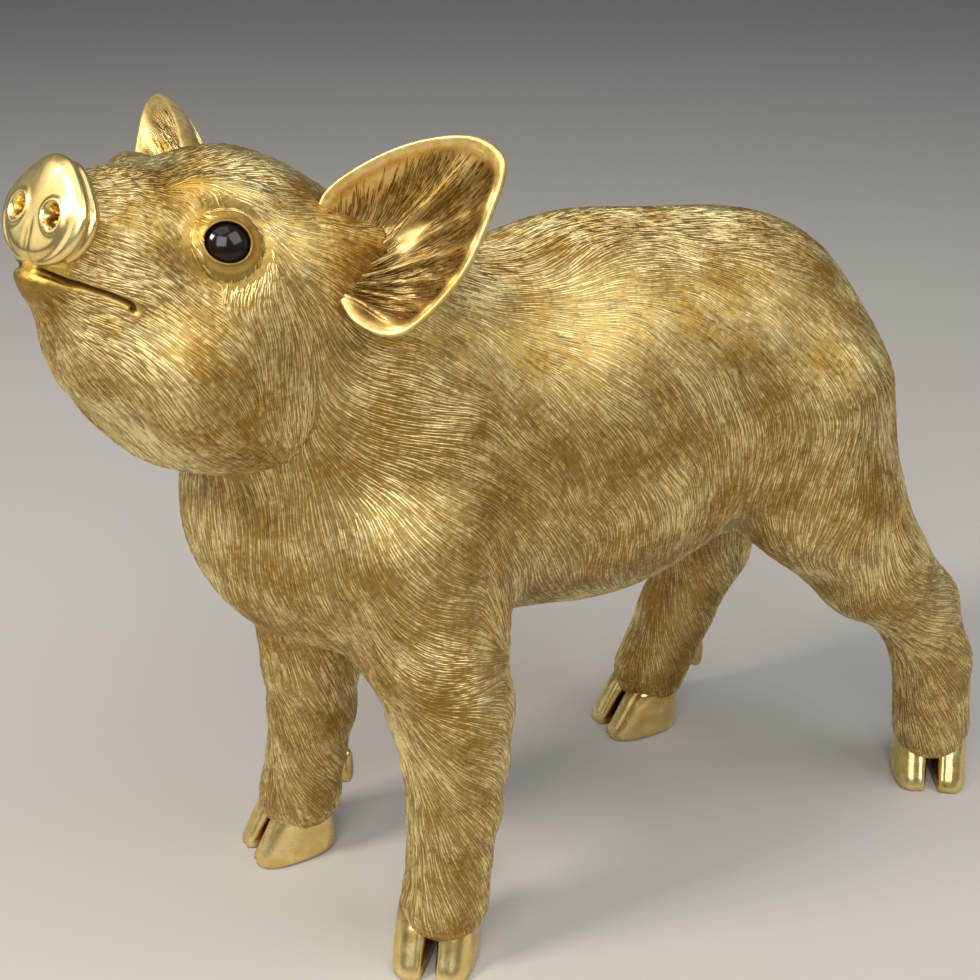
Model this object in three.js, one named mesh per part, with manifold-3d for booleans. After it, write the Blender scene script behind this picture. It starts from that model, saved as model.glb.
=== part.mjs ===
import * as THREE from 'three';
import { mergeVertices } from 'three/addons/utils/BufferGeometryUtils.js';
import Module from 'manifold-3d';

const wasm = await Module();
wasm.setup();

// Standing piglet figurine. Millimetres, nose towards +X, the piglet's left towards +Y, up +Z.
// The body is one cast piece. Two glass eyes are pieces of their own and sit in sockets.

// Driving dimensions
const figure_length = 330;
const skin_cell = 9.3;
const shortest_edge = 1;
const finest_edge = 0.05;
const eye_diameter = 14;
const eye_set_depth = 3.2;
const socket_clearance = 0.3;
const lid_thickness = 2.4;
const lid_root = 4.4;
const snout_width = 30;
const snout_height = 27;
const snout_depth = 13;
const nostril_width = 5;
const nostril_height = 6.4;
const nostril_depth = 4;
const nostril_spacing = 13.4;
const mouth_groove = 2;
const ear_length = 53.5;
const ear_width = 42.5;
const ear_thickness = 4.2;
const ear_cup_depth = 12;
const ear_fold_height = 1.5;
const hoof_length = 31;
const hoof_width = 31;
const hoof_height = 18;
const hoof_cleft = 2.4;
const toe_slope = 9;
const dewclaw_length = 12;
const dewclaw_width = 6.6;
const tail_thickness = 8;

// The pose and the form are given in parts, 330 parts to the figure's length.
const part = figure_length / 330;
const upright = new THREE.Vector3(0, 0, 1);
const turn = 2 * Math.PI;
const ear_sides = 28;
const least_turn = Math.cos(THREE.MathUtils.degToRad(25));

// Head pose: centre of the skull, the turn to the left and the lift of the nose.
const skull_centre = point(125, 9, 231.5);
const head_turn = THREE.MathUtils.degToRad(21);
const nose_lift = THREE.MathUtils.degToRad(27.5);
const head_pose = new THREE.Matrix4()
  .makeRotationFromEuler(new THREE.Euler(0, -nose_lift, head_turn, 'ZYX'))
  .setPosition(skull_centre);
const head_unpose = head_pose.clone().invert();

// Each leg runs down from inside the body: x, y, z and radius of its joints.
const legs = {
  left_fore: [[84, 26, 148, 30], [79, 33, 120, 22], [74, 35, 94, 18.5], [73, 35.5, 76, 16],
    [74, 36, 58, 14.5], [75, 35.5, 40, 13], [77, 35, 22, 14.2]],
  right_fore: [[86, -24, 148, 30], [88, -31, 120, 22], [90, -34, 94, 18], [91, -34.5, 78, 16],
    [91, -36.5, 58, 14.5], [93, -38.5, 40, 13], [96, -40, 22, 14.5]],
  left_hind: [[-62, 20, 160, 34], [-68, 30, 132, 27], [-88, 38, 102, 19.5], [-109, 41, 82, 15],
    [-121, 41.5, 56, 13.5], [-128, 39.5, 24, 14]],
  right_hind: [[-66, -20, 160, 34], [-66, -29, 130, 28], [-75, -36, 98, 20], [-76, -38, 78, 16.5],
    [-66, -41, 50, 14], [-57, -44, 24, 14.2]],
};
const neck_joints = [[46, 0, 171, 43], [86, 3, 195, 36.5], [112, 8, 216, 33]];

// Where each hoof stands, and how far its toe turns to the left, in degrees.
const feet = {
  left_fore: { stand: [79.5, 34], toe_turn: 50 },
  right_fore: { stand: [100, -41.5], toe_turn: 0 },
  left_hind: { stand: [-131.5, 37.5], toe_turn: 54 },
  right_hind: { stand: [-52, -45], toe_turn: -3 },
};

// Ears: root on the skull, the way the cup faces and the way the tip points, in the head's own axes.
const ears = {
  left: { root: [-3, 30.5, 11], faces: [0.94, 0.34, -0.09], points: [-0.19, 0.7, 0.69] },
  right: { root: [-3, -30.5, 6.5], faces: [0.94, -0.34, -0.09], points: [-0.19, -0.7, 0.69] },
};

const gold = new THREE.MeshStandardMaterial({ color: 0xc69a3f, roughness: 0.38, metalness: 0.9 });
const eye_glass = new THREE.MeshStandardMaterial({ color: 0x140b06, roughness: 0.06, metalness: 0 });

function point(x, y, z) {
  return new THREE.Vector3(x, y, z).multiplyScalar(part);
}

function headPoint(x, y, z) {
  return point(x, y, z).applyMatrix4(head_pose);
}

// Clay: signed distances, less than zero inside the figure
function smoothMin(a, b, blend) {
  const share = THREE.MathUtils.clamp(0.5 + 0.5 * (b - a) / blend, 0, 1);
  return b * (1 - share) + a * share - blend * share * (1 - share);
}

function lump(at, centre, radii) {
  const [x, y, z] = [at.x - centre[0] * part, at.y - centre[1] * part, at.z - centre[2] * part];
  const [a, b, c] = radii.map((radius) => radius * part);
  const reach = Math.hypot(x / a, y / b, z / c);
  const slope = Math.hypot(x / (a * a), y / (b * b), z / (c * c)) + 1e-9;
  return reach * (reach - 1) / slope;
}

function bone(at, start, end) {
  const from = point(start[0], start[1], start[2]);
  const along = point(end[0], end[1], end[2]).sub(from);
  const offset = at.clone().sub(from);
  const share = THREE.MathUtils.clamp(offset.dot(along) / along.lengthSq(), 0, 1);
  const radius = THREE.MathUtils.lerp(start[3], end[3], share) * part;
  return offset.addScaledVector(along, -share).length() - radius;
}

function limb(at, joints, blend) {
  let distance = bone(at, joints[0], joints[1]);
  for (let i = 2; i < joints.length; i += 1) {
    distance = smoothMin(distance, bone(at, joints[i - 1], joints[i]), blend * part);
  }
  return distance;
}

function torso(at) {
  const chest = lump(at, [82, 0, 158], [57.5, 43, 53]);
  const barrel = lump(at, [9, 0, 165.5], [73, 48.5, 63.5]);
  const rump = lump(at, [-48, 0, 173], [47, 42, 48]);
  return smoothMin(smoothMin(chest, barrel, 24 * part), rump, 24 * part);
}

function head(at) {
  const local = at.clone().applyMatrix4(head_unpose);
  let distance = lump(local, [-2, 0, 0], [36, 35, 30.5]);
  const muzzle = limb(local, [[8, 0, -1, 28], [32, 0, -3, 19], [50, 0, -2, 12]], 8);
  distance = smoothMin(distance, muzzle, 8 * part);
  for (const side of [1, -1]) {
    distance = smoothMin(distance, lump(local, [0, 15 * side, -24], [32, 20, 27]), 10 * part);
  }
  const jaw = limb(local, [[4, 0, -30, 24], [28, 0, -25, 16], [51, 0, -15, 8]], 8);
  distance = smoothMin(distance, jaw, 8 * part);
  for (const ear of Object.values(ears)) {
    distance = smoothMin(distance, limb(local, earRoot(ear), 4), 6 * part);
  }
  return distance;
}

function clay(at) {
  let distance = smoothMin(torso(at), limb(at, neck_joints, 20), 16 * part);
  distance = smoothMin(distance, head(at), 8 * part);
  for (const joints of Object.values(legs)) {
    distance = smoothMin(distance, limb(at, joints, 4), 13 * part);
  }
  return distance;
}

function outward(at) {
  const step = 0.5;
  const slope = new THREE.Vector3();
  for (const axis of ['x', 'y', 'z']) {
    const ahead = at.clone();
    const behind = at.clone();
    ahead[axis] += step;
    behind[axis] -= step;
    slope[axis] = clay(ahead) - clay(behind);
  }
  return slope.normalize();
}

// Moves a point straight onto the clay's surface, or to a height above it.
function settle(at, height = 0) {
  for (let i = 0; i < 4; i += 1) {
    at.addScaledVector(outward(at), height - clay(at));
  }
  return at;
}

// Skin: one vertex in every cell that the surface crosses, and one face across every crossed edge
function skin(low, high, cell) {
  const count = ['x', 'y', 'z'].map((axis) => Math.ceil((high[axis] - low[axis]) / cell) + 1);
  const index = (i, j, k) => (i * count[1] + j) * count[2] + k;
  const place = (i, j, k) => new THREE.Vector3(i, j, k).multiplyScalar(cell).add(low);
  const values = new Float64Array(count[0] * count[1] * count[2]);
  eachCell(count, (i, j, k) => { values[index(i, j, k)] = clay(place(i, j, k)); });

  const corners = [0, 1, 2, 3, 4, 5, 6, 7].map((c) => [c & 1, (c >> 1) & 1, (c >> 2) & 1]);
  const vertexOf = new Map();
  const vertices = [];
  eachCell(count.map((n) => n - 1), (i, j, k) => {
    const sum = new THREE.Vector3();
    let crossings = 0;
    for (const [a, b] of cube_edges) {
      const from = values[index(i + corners[a][0], j + corners[a][1], k + corners[a][2])];
      const to = values[index(i + corners[b][0], j + corners[b][1], k + corners[b][2])];
      if ((from < 0) === (to < 0)) continue;
      const start = place(i + corners[a][0], j + corners[a][1], k + corners[a][2]);
      const end = place(i + corners[b][0], j + corners[b][1], k + corners[b][2]);
      sum.add(start.lerp(end, from / (from - to)));
      crossings += 1;
    }
    if (crossings === 0) return;
    vertexOf.set(index(i, j, k), vertices.length);
    vertices.push(sum.divideScalar(crossings));
  });

  const quads = [];
  eachCell(count.map((n) => n - 1), (i, j, k) => {
    const here = values[index(i, j, k)] < 0;
    const ways = [[[1, 0, 0], [0, 1, 0], [0, 0, 1]], [[0, 1, 0], [0, 0, 1], [1, 0, 0]],
      [[0, 0, 1], [1, 0, 0], [0, 1, 0]]];
    for (const [step, u, v] of ways) {
      if (here === values[index(i + step[0], j + step[1], k + step[2])] < 0) continue;
      const around = [[0, 0], [1, 0], [1, 1], [0, 1]].map(([a, b]) => vertexOf.get(
        index(i - a * u[0] - b * v[0], j - a * u[1] - b * v[1], k - a * u[2] - b * v[2])));
      quads.push(here ? around : around.reverse());
    }
  });
  return { vertices, quads };
}

function eachCell(count, visit) {
  for (let i = 0; i < count[0]; i += 1) {
    for (let j = 0; j < count[1]; j += 1) {
      for (let k = 0; k < count[2]; k += 1) visit(i, j, k);
    }
  }
}

// Evens out the skin's facets: each vertex moves to the middle of its neighbours and back onto the clay.
function relax(vertices, quads, rounds) {
  for (let round = 0; round < rounds; round += 1) {
    const sums = vertices.map(() => ({ total: new THREE.Vector3(), weight: 0 }));
    for (const quad of quads) {
      quad.forEach((corner, i) => {
        sums[corner].total.add(vertices[quad[(i + 1) % 4]]).add(vertices[quad[(i + 3) % 4]]);
        sums[corner].weight += 2;
      });
    }
    vertices.forEach((vertex, i) => vertex.copy(sums[i].total.divideScalar(sums[i].weight)));
    vertices.forEach((vertex) => vertex.addScaledVector(outward(vertex), -clay(vertex)));
  }
}

// Solids from vertices and triangles
function solid(vertices, triangles) {
  const volume = triangles.reduce((sum, [a, b, c]) => sum
    + vertices[a].dot(vertices[b].clone().cross(vertices[c])), 0);
  const facing = volume > 0 ? triangles : triangles.map(([a, b, c]) => [a, c, b]);
  return new wasm.Manifold(new wasm.Mesh({
    numProp: 3,
    vertProperties: new Float32Array(vertices.flatMap((vertex) => vertex.toArray())),
    triVerts: new Uint32Array(facing.flat()),
  }));
}

function solidOf(geometry) {
  const bare = geometry.clone();
  bare.deleteAttribute('normal');
  bare.deleteAttribute('uv');
  const merged = mergeVertices(bare, 1e-4);
  const position = merged.getAttribute('position');
  const vertices = Array.from({ length: position.count },
    (_, i) => new THREE.Vector3().fromBufferAttribute(position, i));
  const triangles = [];
  for (let i = 0; i < merged.index.count; i += 3) {
    const corners = [0, 1, 2].map((c) => merged.index.getX(i + c));
    if (new Set(corners).size === 3) triangles.push(corners);
  }
  return solid(vertices, triangles);
}

function meshOf(name, body, material) {
  const { vertices, triangles } = partsOf(body);
  const geometry = new THREE.BufferGeometry().setFromPoints(triangles.flat().map((i) => vertices[i]));
  geometry.computeVertexNormals();
  const mesh = new THREE.Mesh(geometry, material);
  mesh.name = name;
  return mesh;
}

function partsOf(body) {
  const { vertProperties, triVerts } = body.getMesh();
  const vertices = Array.from({ length: vertProperties.length / 3 },
    (_, i) => new THREE.Vector3().fromArray(vertProperties, 3 * i));
  const triangles = Array.from({ length: triVerts.length / 3 },
    (_, i) => Array.from(triVerts.subarray(3 * i, 3 * i + 3)));
  return { vertices, triangles };
}

function faceNormal(a, b, c) {
  return b.clone().sub(a).cross(c.clone().sub(a)).normalize();
}

// Draws the ends of each short edge together, onto the lower end, where the surface stays whole and
// keeps its shape. It leaves flat soles flat.
function closeShortEdges(body, shortest) {
  const { vertices, triangles } = partsOf(body);
  const around = vertices.map(() => new Set());
  triangles.forEach((triangle) => triangle.forEach((corner) => around[corner].add(triangle)));
  const neighbours = (corner) => new Set([...around[corner]].flat().filter((other) => other !== corner));

  const close = (high, low) => {
    const shared = [...neighbours(high)].filter((other) => neighbours(low).has(other));
    const gone = [...around[high]].filter((triangle) => triangle.includes(low));
    const kept = [...around[high]].filter((triangle) => !triangle.includes(low));
    if (shared.length !== 2 || gone.length !== 2) return false;
    const whole = kept.every((triangle) => {
      const before = triangle.map((corner) => vertices[corner]);
      const after = triangle.map((corner) => vertices[corner === high ? low : corner]);
      return faceNormal(...before).dot(faceNormal(...after)) > least_turn;
    });
    if (!whole) return false;
    gone.forEach((triangle) => triangle.forEach((corner) => around[corner].delete(triangle)));
    kept.forEach((triangle) => {
      triangle[triangle.indexOf(high)] = low;
      around[low].add(triangle);
    });
    around[high].clear();
    return true;
  };

  for (const triangle of triangles) {
    for (let i = 0; i < 3; i += 1) {
      const ends = [triangle[i], triangle[(i + 1) % 3]].sort((a, b) => vertices[b].z - vertices[a].z);
      const length = vertices[ends[0]].distanceTo(vertices[ends[1]]);
      if (length < shortest && around[ends[0]].has(triangle) && close(...ends)) break;
    }
  }
  const whole = triangles.filter((triangle) => around[triangle[0]].has(triangle));
  const used = [...new Set(whole.flat())];
  const place = new Map(used.map((corner, i) => [corner, i]));
  return solid(used.map((corner) => vertices[corner]), whole.map((face) => face.map((c) => place.get(c))));
}

// A skin over rings of points, with a fan over the first and the last ring
function loft(rings) {
  const sides = rings[0].length;
  const middle = (ring) => ring.reduce((sum, p) => sum.add(p), new THREE.Vector3()).divideScalar(sides);
  const vertices = [...rings.flat(), middle(rings[0]), middle(rings.at(-1))];
  const [first_tip, last_tip] = [vertices.length - 2, vertices.length - 1];
  const last_ring = (rings.length - 1) * sides;
  const triangles = [];
  for (let side = 0; side < sides; side += 1) {
    const next = (side + 1) % sides;
    triangles.push([first_tip, next, side], [last_tip, last_ring + side, last_ring + next]);
    for (let row = 0; row < last_ring; row += sides) {
      triangles.push([row + side, row + next, row + sides + next]);
      triangles.push([row + side, row + sides + next, row + sides + side]);
    }
  }
  return solid(vertices, triangles);
}

// A rod along points, with a radius at each
function rod(points, radii, sides) {
  const rings = points.map((centre, i) => {
    const ahead = points[Math.min(i + 1, points.length - 1)];
    const along = ahead.clone().sub(points[Math.max(i - 1, 0)]).normalize();
    const across = along.clone().cross(outward(centre)).normalize();
    const lift = across.clone().cross(along);
    return Array.from({ length: sides }, (_, side) => centre.clone()
      .addScaledVector(across, radii[i] * Math.cos(side / sides * turn))
      .addScaledVector(lift, radii[i] * Math.sin(side / sides * turn)));
  });
  return loft(rings);
}

// Places a shape so that its Z axis looks along a direction and its Y axis stays as upright as it can.
function facing(centre, direction) {
  const across = new THREE.Vector3().crossVectors(upright, direction).normalize();
  const over = new THREE.Vector3().crossVectors(direction, across);
  return new THREE.Matrix4().makeBasis(across, over, direction).setPosition(centre);
}

function body() {
  const { vertices, quads } = skin(point(-150, -72, 4), point(200, 84, 290), skin_cell);
  relax(vertices, quads, 3);
  const triangles = quads.flatMap(([a, b, c, d]) => (
    vertices[a].distanceTo(vertices[c]) < vertices[b].distanceTo(vertices[d])
      ? [[a, b, c], [a, c, d]] : [[a, b, d], [b, c, d]]));
  return solid(vertices, triangles);
}

// Snout: a round roll behind, a groove and a domed disc in front, with two nostrils sunk in it
function snout() {
  const profile = [[0, -0.6], [0.72, -0.6], [0.93, -0.28], [0.96, -0.05], [0.88, 0.1], [0.98, 0.24],
    [1, 0.4], [0.93, 0.62], [0.66, 0.84], [0.3, 0.92], [0, 0.92]];
  const geometry = new THREE.LatheGeometry(profile.map(([r, h]) => new THREE.Vector2(r, h)), 20);
  geometry.applyMatrix4(new THREE.Matrix4().makeScale(snout_height / 2, snout_depth / 2, snout_width / 2));
  geometry.rotateZ(-Math.PI / 2);
  geometry.rotateX(Math.PI / 2);
  geometry.applyMatrix4(snoutPlace());
  return solidOf(geometry);
}

function snoutPlace() {
  const centre = new THREE.Vector3(56 * part, 0, -0.8 * part);
  return head_pose.clone().multiply(new THREE.Matrix4().setPosition(centre));
}

function nostril(side) {
  const geometry = new THREE.SphereGeometry(1, 12, 8);
  geometry.scale(nostril_depth, nostril_width / 2, nostril_height / 2);
  geometry.rotateX(side * 0.35);
  geometry.translate(0.46 * snout_depth, side * nostril_spacing / 2, -0.03 * snout_height);
  geometry.applyMatrix4(snoutPlace());
  return solidOf(geometry);
}

function mouth() {
  const half = [[34.5, 16, -20], [37, 14.3, -17], [45, 12, -15.8], [51, 8, -14.8]];
  const mirrored = half.map(([x, y, z]) => [x, -y, z]).reverse();
  const route = [...half, [55, 0, -14], ...mirrored].map(([x, y, z]) => settle(headPoint(x, y, z)));
  const points = new THREE.CatmullRomCurve3(route).getPoints(22).map((p) => settle(p));
  return rod(points, points.map(() => mouth_groove / 2), 6);
}

// Eye: a glass bead set in a socket, inside a raised lid
function eyeSeat(side) {
  const centre = settle(headPoint(25.4, 26.4 * side, 5.2));
  const direction = outward(centre);
  return facing(centre.addScaledVector(direction, -eye_set_depth), direction);
}

function eyeBall(side, radius) {
  const geometry = new THREE.SphereGeometry(radius, 16, 10);
  geometry.rotateX(Math.PI / 2);
  geometry.applyMatrix4(eyeSeat(side));
  return solidOf(geometry);
}

function lid(side) {
  const opening = Math.sqrt((eye_diameter / 2) ** 2 - eye_set_depth ** 2);
  const half_height = (lid_thickness + lid_root) / 2;
  const geometry = new THREE.TorusGeometry(opening + lid_thickness / 3, lid_thickness / 2, 6, 18);
  geometry.scale(1.06, 0.98, 2 * half_height / lid_thickness);
  geometry.translate(0, 0, eye_set_depth + lid_thickness / 2 - half_height);
  geometry.applyMatrix4(eyeSeat(side));
  return solidOf(geometry);
}

// Ear: a cupped leaf around a hub, thick at its rim, with folds that run out from the hub
function earAxes(ear) {
  const faces = new THREE.Vector3(...ear.faces).normalize();
  const points = new THREE.Vector3(...ear.points);
  points.addScaledVector(faces, -faces.dot(points)).normalize();
  return { faces, points, across: new THREE.Vector3().crossVectors(faces, points) };
}

function earRoot(ear) {
  const { faces, points } = earAxes(ear);
  const start = new THREE.Vector3(...ear.root).multiplyScalar(0.7);
  const end = new THREE.Vector3(...ear.root).addScaledVector(points, 7).addScaledVector(faces, -8);
  return [[...start.toArray(), 14], [...end.toArray(), 8]];
}

function ear(side) {
  const { faces, points, across } = earAxes(ears[side]);
  const hand = side === 'left' ? 1 : -1;
  const outline = [[-3, -10], [-1, 4], [5, 13.5], [20, 15], [35, 12.3], [47, 6], [50.5, -3], [42, -12.5],
    [27, -23], [8, -27.5], [-1.5, -20]];
  const [hub_out, hub_over] = [0.3 * ear_length, -0.1 * ear_width];
  const leaf = outline.map(([i, j]) => new THREE.Vector3(
    i / 53.5 * ear_length - hub_out, j / 42.5 * ear_width - hub_over, 0));
  const rim = new THREE.CatmullRomCurve3(leaf, true).getPoints(ear_sides).slice(0, ear_sides);
  const ring = (reach, depth, folds) => rim.map((edge, i) => {
    const fold = folds * ear_fold_height * Math.cos(7 * i / ear_sides * turn) * 4 * reach * (1 - reach);
    const height = fold - depth - ear_cup_depth * (1 - reach * reach);
    return new THREE.Vector3(...ears[side].root).multiplyScalar(part)
      .addScaledVector(points, edge.x * reach + hub_out)
      .addScaledVector(across, hand * (edge.y * reach + hub_over))
      .addScaledVector(faces, height)
      .applyMatrix4(head_pose);
  });
  const front = [0.25, 0.5, 0.74, 0.9].map((reach) => ring(reach, 0, 1));
  const lip = [ring(0.97, -0.8, 0), ring(1, ear_thickness * 0.4, 0)];
  const back = [0.94, 0.7, 0.3].map((reach) => ring(reach, ear_thickness * (1.9 - 0.9 * reach), 0));
  return loft([...front, ...lip, ...back]);
}

// Hoof: two claws with a cleft between them and flat soles on the ground, and two dewclaws behind
function footPlace(name) {
  const { stand, toe_turn } = feet[name];
  return new THREE.Matrix4().makeRotationZ(THREE.MathUtils.degToRad(toe_turn))
    .setPosition(stand[0] * part, stand[1] * part, 0);
}

function claw(name, side) {
  const half_width = (hoof_width - hoof_cleft) / 4;
  const flat_side = 0.75 * half_width;
  const sections = [[0, 0.94, 0], [0.14, 1, 0.02], [1, 0.94, 1]];
  const rings = sections.map(([rise, swell, lean]) => Array.from({ length: 12 }, (_, i) => {
    const [along, over] = [Math.cos(i / 12 * turn), Math.sin(i / 12 * turn)];
    const heel_to_toe = hoof_length - toe_slope * lean;
    const forward = heel_to_toe * (0.5 * swell * Math.sign(along) * Math.abs(along) ** 0.75 + 0.5);
    const beside = half_width * swell * Math.sign(over) * Math.abs(over) ** 0.85;
    const cleft_flare = hoof_cleft * 0.6 * Math.max(0, along) * (1 - 0.7 * lean);
    return new THREE.Vector3(forward - 0.45 * hoof_length,
      side * (hoof_cleft / 2 + flat_side + Math.max(beside, cleft_flare - flat_side)), rise * hoof_height);
  }));
  return loft(rings.map((ring) => ring.map((p) => p.applyMatrix4(footPlace(name)))));
}

function dewclaw(name, side) {
  const joints = legs[name];
  const low = point(...joints.at(-1).slice(0, 3));
  const high = point(...joints.at(-2).slice(0, 3));
  const share = (hoof_height * 1.75 - low.z) / (high.z - low.z);
  const spread = new THREE.Vector3(-12.6 * part, side * 5.6 * part, 0)
    .applyAxisAngle(upright, THREE.MathUtils.degToRad(feet[name].toe_turn));
  const centre = settle(low.lerp(high, share).add(spread), -0.5);
  const geometry = new THREE.SphereGeometry(1, 7, 5);
  geometry.scale(dewclaw_width / 2, dewclaw_length / 2, dewclaw_width / 2);
  geometry.rotateX(0.35);
  geometry.applyMatrix4(facing(centre, spread.clone().normalize()));
  return solidOf(geometry);
}

// Tail: a short curl that lies on the rump
function tail() {
  const route = [[-91, -2, 193], [-97, -1, 182], [-98, 5, 171], [-98, 11, 161], [-97, 8, 151],
    [-97, -1, 149], [-97, -7, 157], [-98, -5, 166]].map(([x, y, z]) => point(x, y, z));
  const curve = new THREE.CatmullRomCurve3(route).getPoints(20);
  const radii = curve.map((_, i) => tail_thickness / 2 * (1 - 0.6 * i / (curve.length - 1)));
  return rod(curve.map((at, i) => settle(at, 0.45 * radii[i])), radii, 8);
}

function figure() {
  let cast = body().add(snout()).add(tail());
  for (const side of ['left', 'right']) cast = cast.add(ear(side));
  for (const name of Object.keys(feet)) {
    for (const side of [1, -1]) cast = cast.add(claw(name, side)).add(dewclaw(name, side));
  }
  for (const side of [1, -1]) cast = cast.add(lid(side));
  cast = closeShortEdges(cast, shortest_edge);
  for (const side of [1, -1]) {
    cast = cast.subtract(eyeBall(side, eye_diameter / 2 + socket_clearance));
    cast = cast.subtract(nostril(side));
  }
  return closeShortEdges(cast.subtract(mouth()), finest_edge);
}

const cube_edges = [];
for (let corner = 0; corner < 8; corner += 1) {
  for (const step of [1, 2, 4]) {
    if ((corner & step) === 0) cube_edges.push([corner, corner | step]);
  }
}

// The origin is on the ground, below the middle of the figure.
const piglet = new THREE.Group();
piglet.add(meshOf('piglet', figure(), gold));
piglet.add(meshOf('left_eye', eyeBall(1, eye_diameter / 2), eye_glass));
piglet.add(meshOf('right_eye', eyeBall(-1, eye_diameter / 2), eye_glass));
const extent = new THREE.Box3().setFromObject(piglet);
const middle = extent.getCenter(new THREE.Vector3());
piglet.position.set(-middle.x, -middle.y, -extent.min.z);

export default piglet;
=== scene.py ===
# %% [markdown]
# A piglet ornament, cast in one piece with its coat engraved hair by hair, gilded and then rubbed
# with a dark wash. The wash stays between the hairs, and the snout, the hooves and the rims of the
# ears are burnished bright. Two dark glass eyes are set in the casting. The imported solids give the
# size and the place of everything, so they are loaded first.

# %% Load the frame
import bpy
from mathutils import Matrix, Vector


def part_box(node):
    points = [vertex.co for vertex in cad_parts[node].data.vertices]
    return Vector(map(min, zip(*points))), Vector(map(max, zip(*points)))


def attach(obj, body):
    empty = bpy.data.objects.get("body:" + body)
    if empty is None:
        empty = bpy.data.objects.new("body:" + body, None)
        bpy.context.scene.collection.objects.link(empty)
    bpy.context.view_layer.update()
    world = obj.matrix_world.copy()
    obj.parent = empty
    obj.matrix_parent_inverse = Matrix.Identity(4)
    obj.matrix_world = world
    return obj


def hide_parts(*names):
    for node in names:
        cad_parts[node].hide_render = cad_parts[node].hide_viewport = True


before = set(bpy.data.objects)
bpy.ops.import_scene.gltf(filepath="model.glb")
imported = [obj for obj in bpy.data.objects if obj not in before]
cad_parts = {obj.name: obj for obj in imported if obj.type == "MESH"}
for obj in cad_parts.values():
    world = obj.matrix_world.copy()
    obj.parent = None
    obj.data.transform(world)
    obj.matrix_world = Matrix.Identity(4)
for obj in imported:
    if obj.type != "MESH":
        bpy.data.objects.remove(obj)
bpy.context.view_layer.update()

# %% Libraries and units
import math
import bmesh
import bpy
import numpy as np
from mathutils import Vector
MM = 0.001
SEED = 11
BODY = "root"
SIDES = (("left", 1), ("right", -1))


# %% [markdown]
# The form is modelled as clay is: lumps and tapered rods that melt into each other. Each lump is
# a function that gives the distance from a point to its surface, below zero inside, and a soft
# minimum joins two of them with a fillet. The alternative is a box model with subdivision, but
# fillets, folds and grooves would each need edge loops of their own.

# %% Distances to lumps and rods, in millimetres
def soft_min(a, b, blend):
    share = np.clip(0.5 + 0.5 * (b - a) / blend, 0, 1)
    return b * (1 - share) + a * share - blend * share * (1 - share)


def soft_max(a, b, blend):
    return -soft_min(-a, -b, blend)


def lump(p, centre, radii):
    q = p - np.array(centre, np.float32)
    radii = np.array(radii, np.float32)
    reach = np.sqrt(((q / radii) ** 2).sum(-1))
    return reach * (reach - 1) / (np.sqrt(((q / radii ** 2) ** 2).sum(-1)) + 1e-6)


def rod(p, start, end):
    a, b = np.array(start[:3], np.float32), np.array(end[:3], np.float32)
    share = np.clip(((p - a) @ (b - a)) / ((b - a) @ (b - a)), 0, 1)
    return np.sqrt(((p - a - share[..., None] * (b - a)) ** 2).sum(-1)) - (
        start[3] + (end[3] - start[3]) * share)


def limb(p, joints, blend):
    distance = rod(p, joints[0], joints[1])
    for start, end in zip(joints[1:], joints[2:]):
        distance = soft_min(distance, rod(p, start, end), blend)
    return distance


def smooth(low, high, x):
    t = np.clip((x - low) / (high - low), 0, 1)
    return t * t * (3 - 2 * t)


def bell(x, centre, width):
    return np.exp(-((x - centre) / width) ** 2)


def unit(v):
    return v / (np.linalg.norm(v, axis=-1, keepdims=True) + 1e-9)


def full_turn(count):
    return np.linspace(0, 2 * np.pi, count, endpoint=False)


print("a rod of radius 2 at its middle:", rod(np.zeros((1, 3)), (-5, 0, 0, 2), (5, 0, 0, 2))[0])


# %% [markdown]
# The pose: the same joints and lumps as the solid's, x towards the nose, y to the piglet's left,
# z up, the radius last. The head has axes of its own, lifted and turned to the left, so that the
# face can be drawn as if it looked straight ahead.

# %% Pose of the body and the head
LEGS = {
    "left_fore": [(84, 26, 148, 30), (79, 33, 120, 22), (74, 35, 94, 18.5), (73, 35.5, 76, 16),
                  (74, 36, 58, 14.5), (75, 35.5, 40, 13), (77, 35, 22, 14.2)],
    "right_fore": [(86, -24, 148, 30), (88, -31, 120, 22), (90, -34, 94, 18), (91, -34.5, 78, 16),
                   (91, -36.5, 58, 14.5), (93, -38.5, 40, 13), (96, -40, 22, 14.5)],
    "left_hind": [(-62, 20, 160, 34), (-68, 30, 132, 27), (-88, 38, 102, 19.5), (-109, 41, 82, 15),
                  (-121, 41.5, 56, 13.5), (-128, 39.5, 24, 14)],
    "right_hind": [(-66, -20, 160, 34), (-66, -29, 130, 28), (-75, -36, 98, 20),
                   (-76, -38, 78, 16.5), (-66, -41, 50, 14), (-57, -44, 24, 14.2)],
}
FEET = {"left_fore": (79.5, 34, 50), "right_fore": (100, -41.5, 0),
        "left_hind": (-131.5, 37.5, 54), "right_hind": (-52, -45, -3)}
NECK = [(46, 0, 171, 43), (86, 3, 195, 36.5), (112, 8, 216, 33)]
SKULL = np.array([125, 9, 231.5])
HEAD_TURN, NOSE_LIFT = math.radians(21), math.radians(27.5)
NECK_BLEND, LEG_BLEND = 8, 13
FORWARD = np.array([math.cos(HEAD_TURN) * math.cos(NOSE_LIFT),
                    math.sin(HEAD_TURN) * math.cos(NOSE_LIFT), math.sin(NOSE_LIFT)])
LEFT = np.array([-math.sin(HEAD_TURN), math.cos(HEAD_TURN), 0])
HEAD_AXES = np.stack([FORWARD, LEFT, np.cross(FORWARD, LEFT)], 1)
EARS = {
    "left": {"root": (-3, 30.5, 11), "faces": (0.94, 0.34, -0.09), "points": (-0.19, 0.7, 0.69)},
    "right": {"root": (-3, -30.5, 6.5), "faces": (0.94, -0.34, -0.09), "points": (-0.19, -0.7, 0.69)},
}
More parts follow.
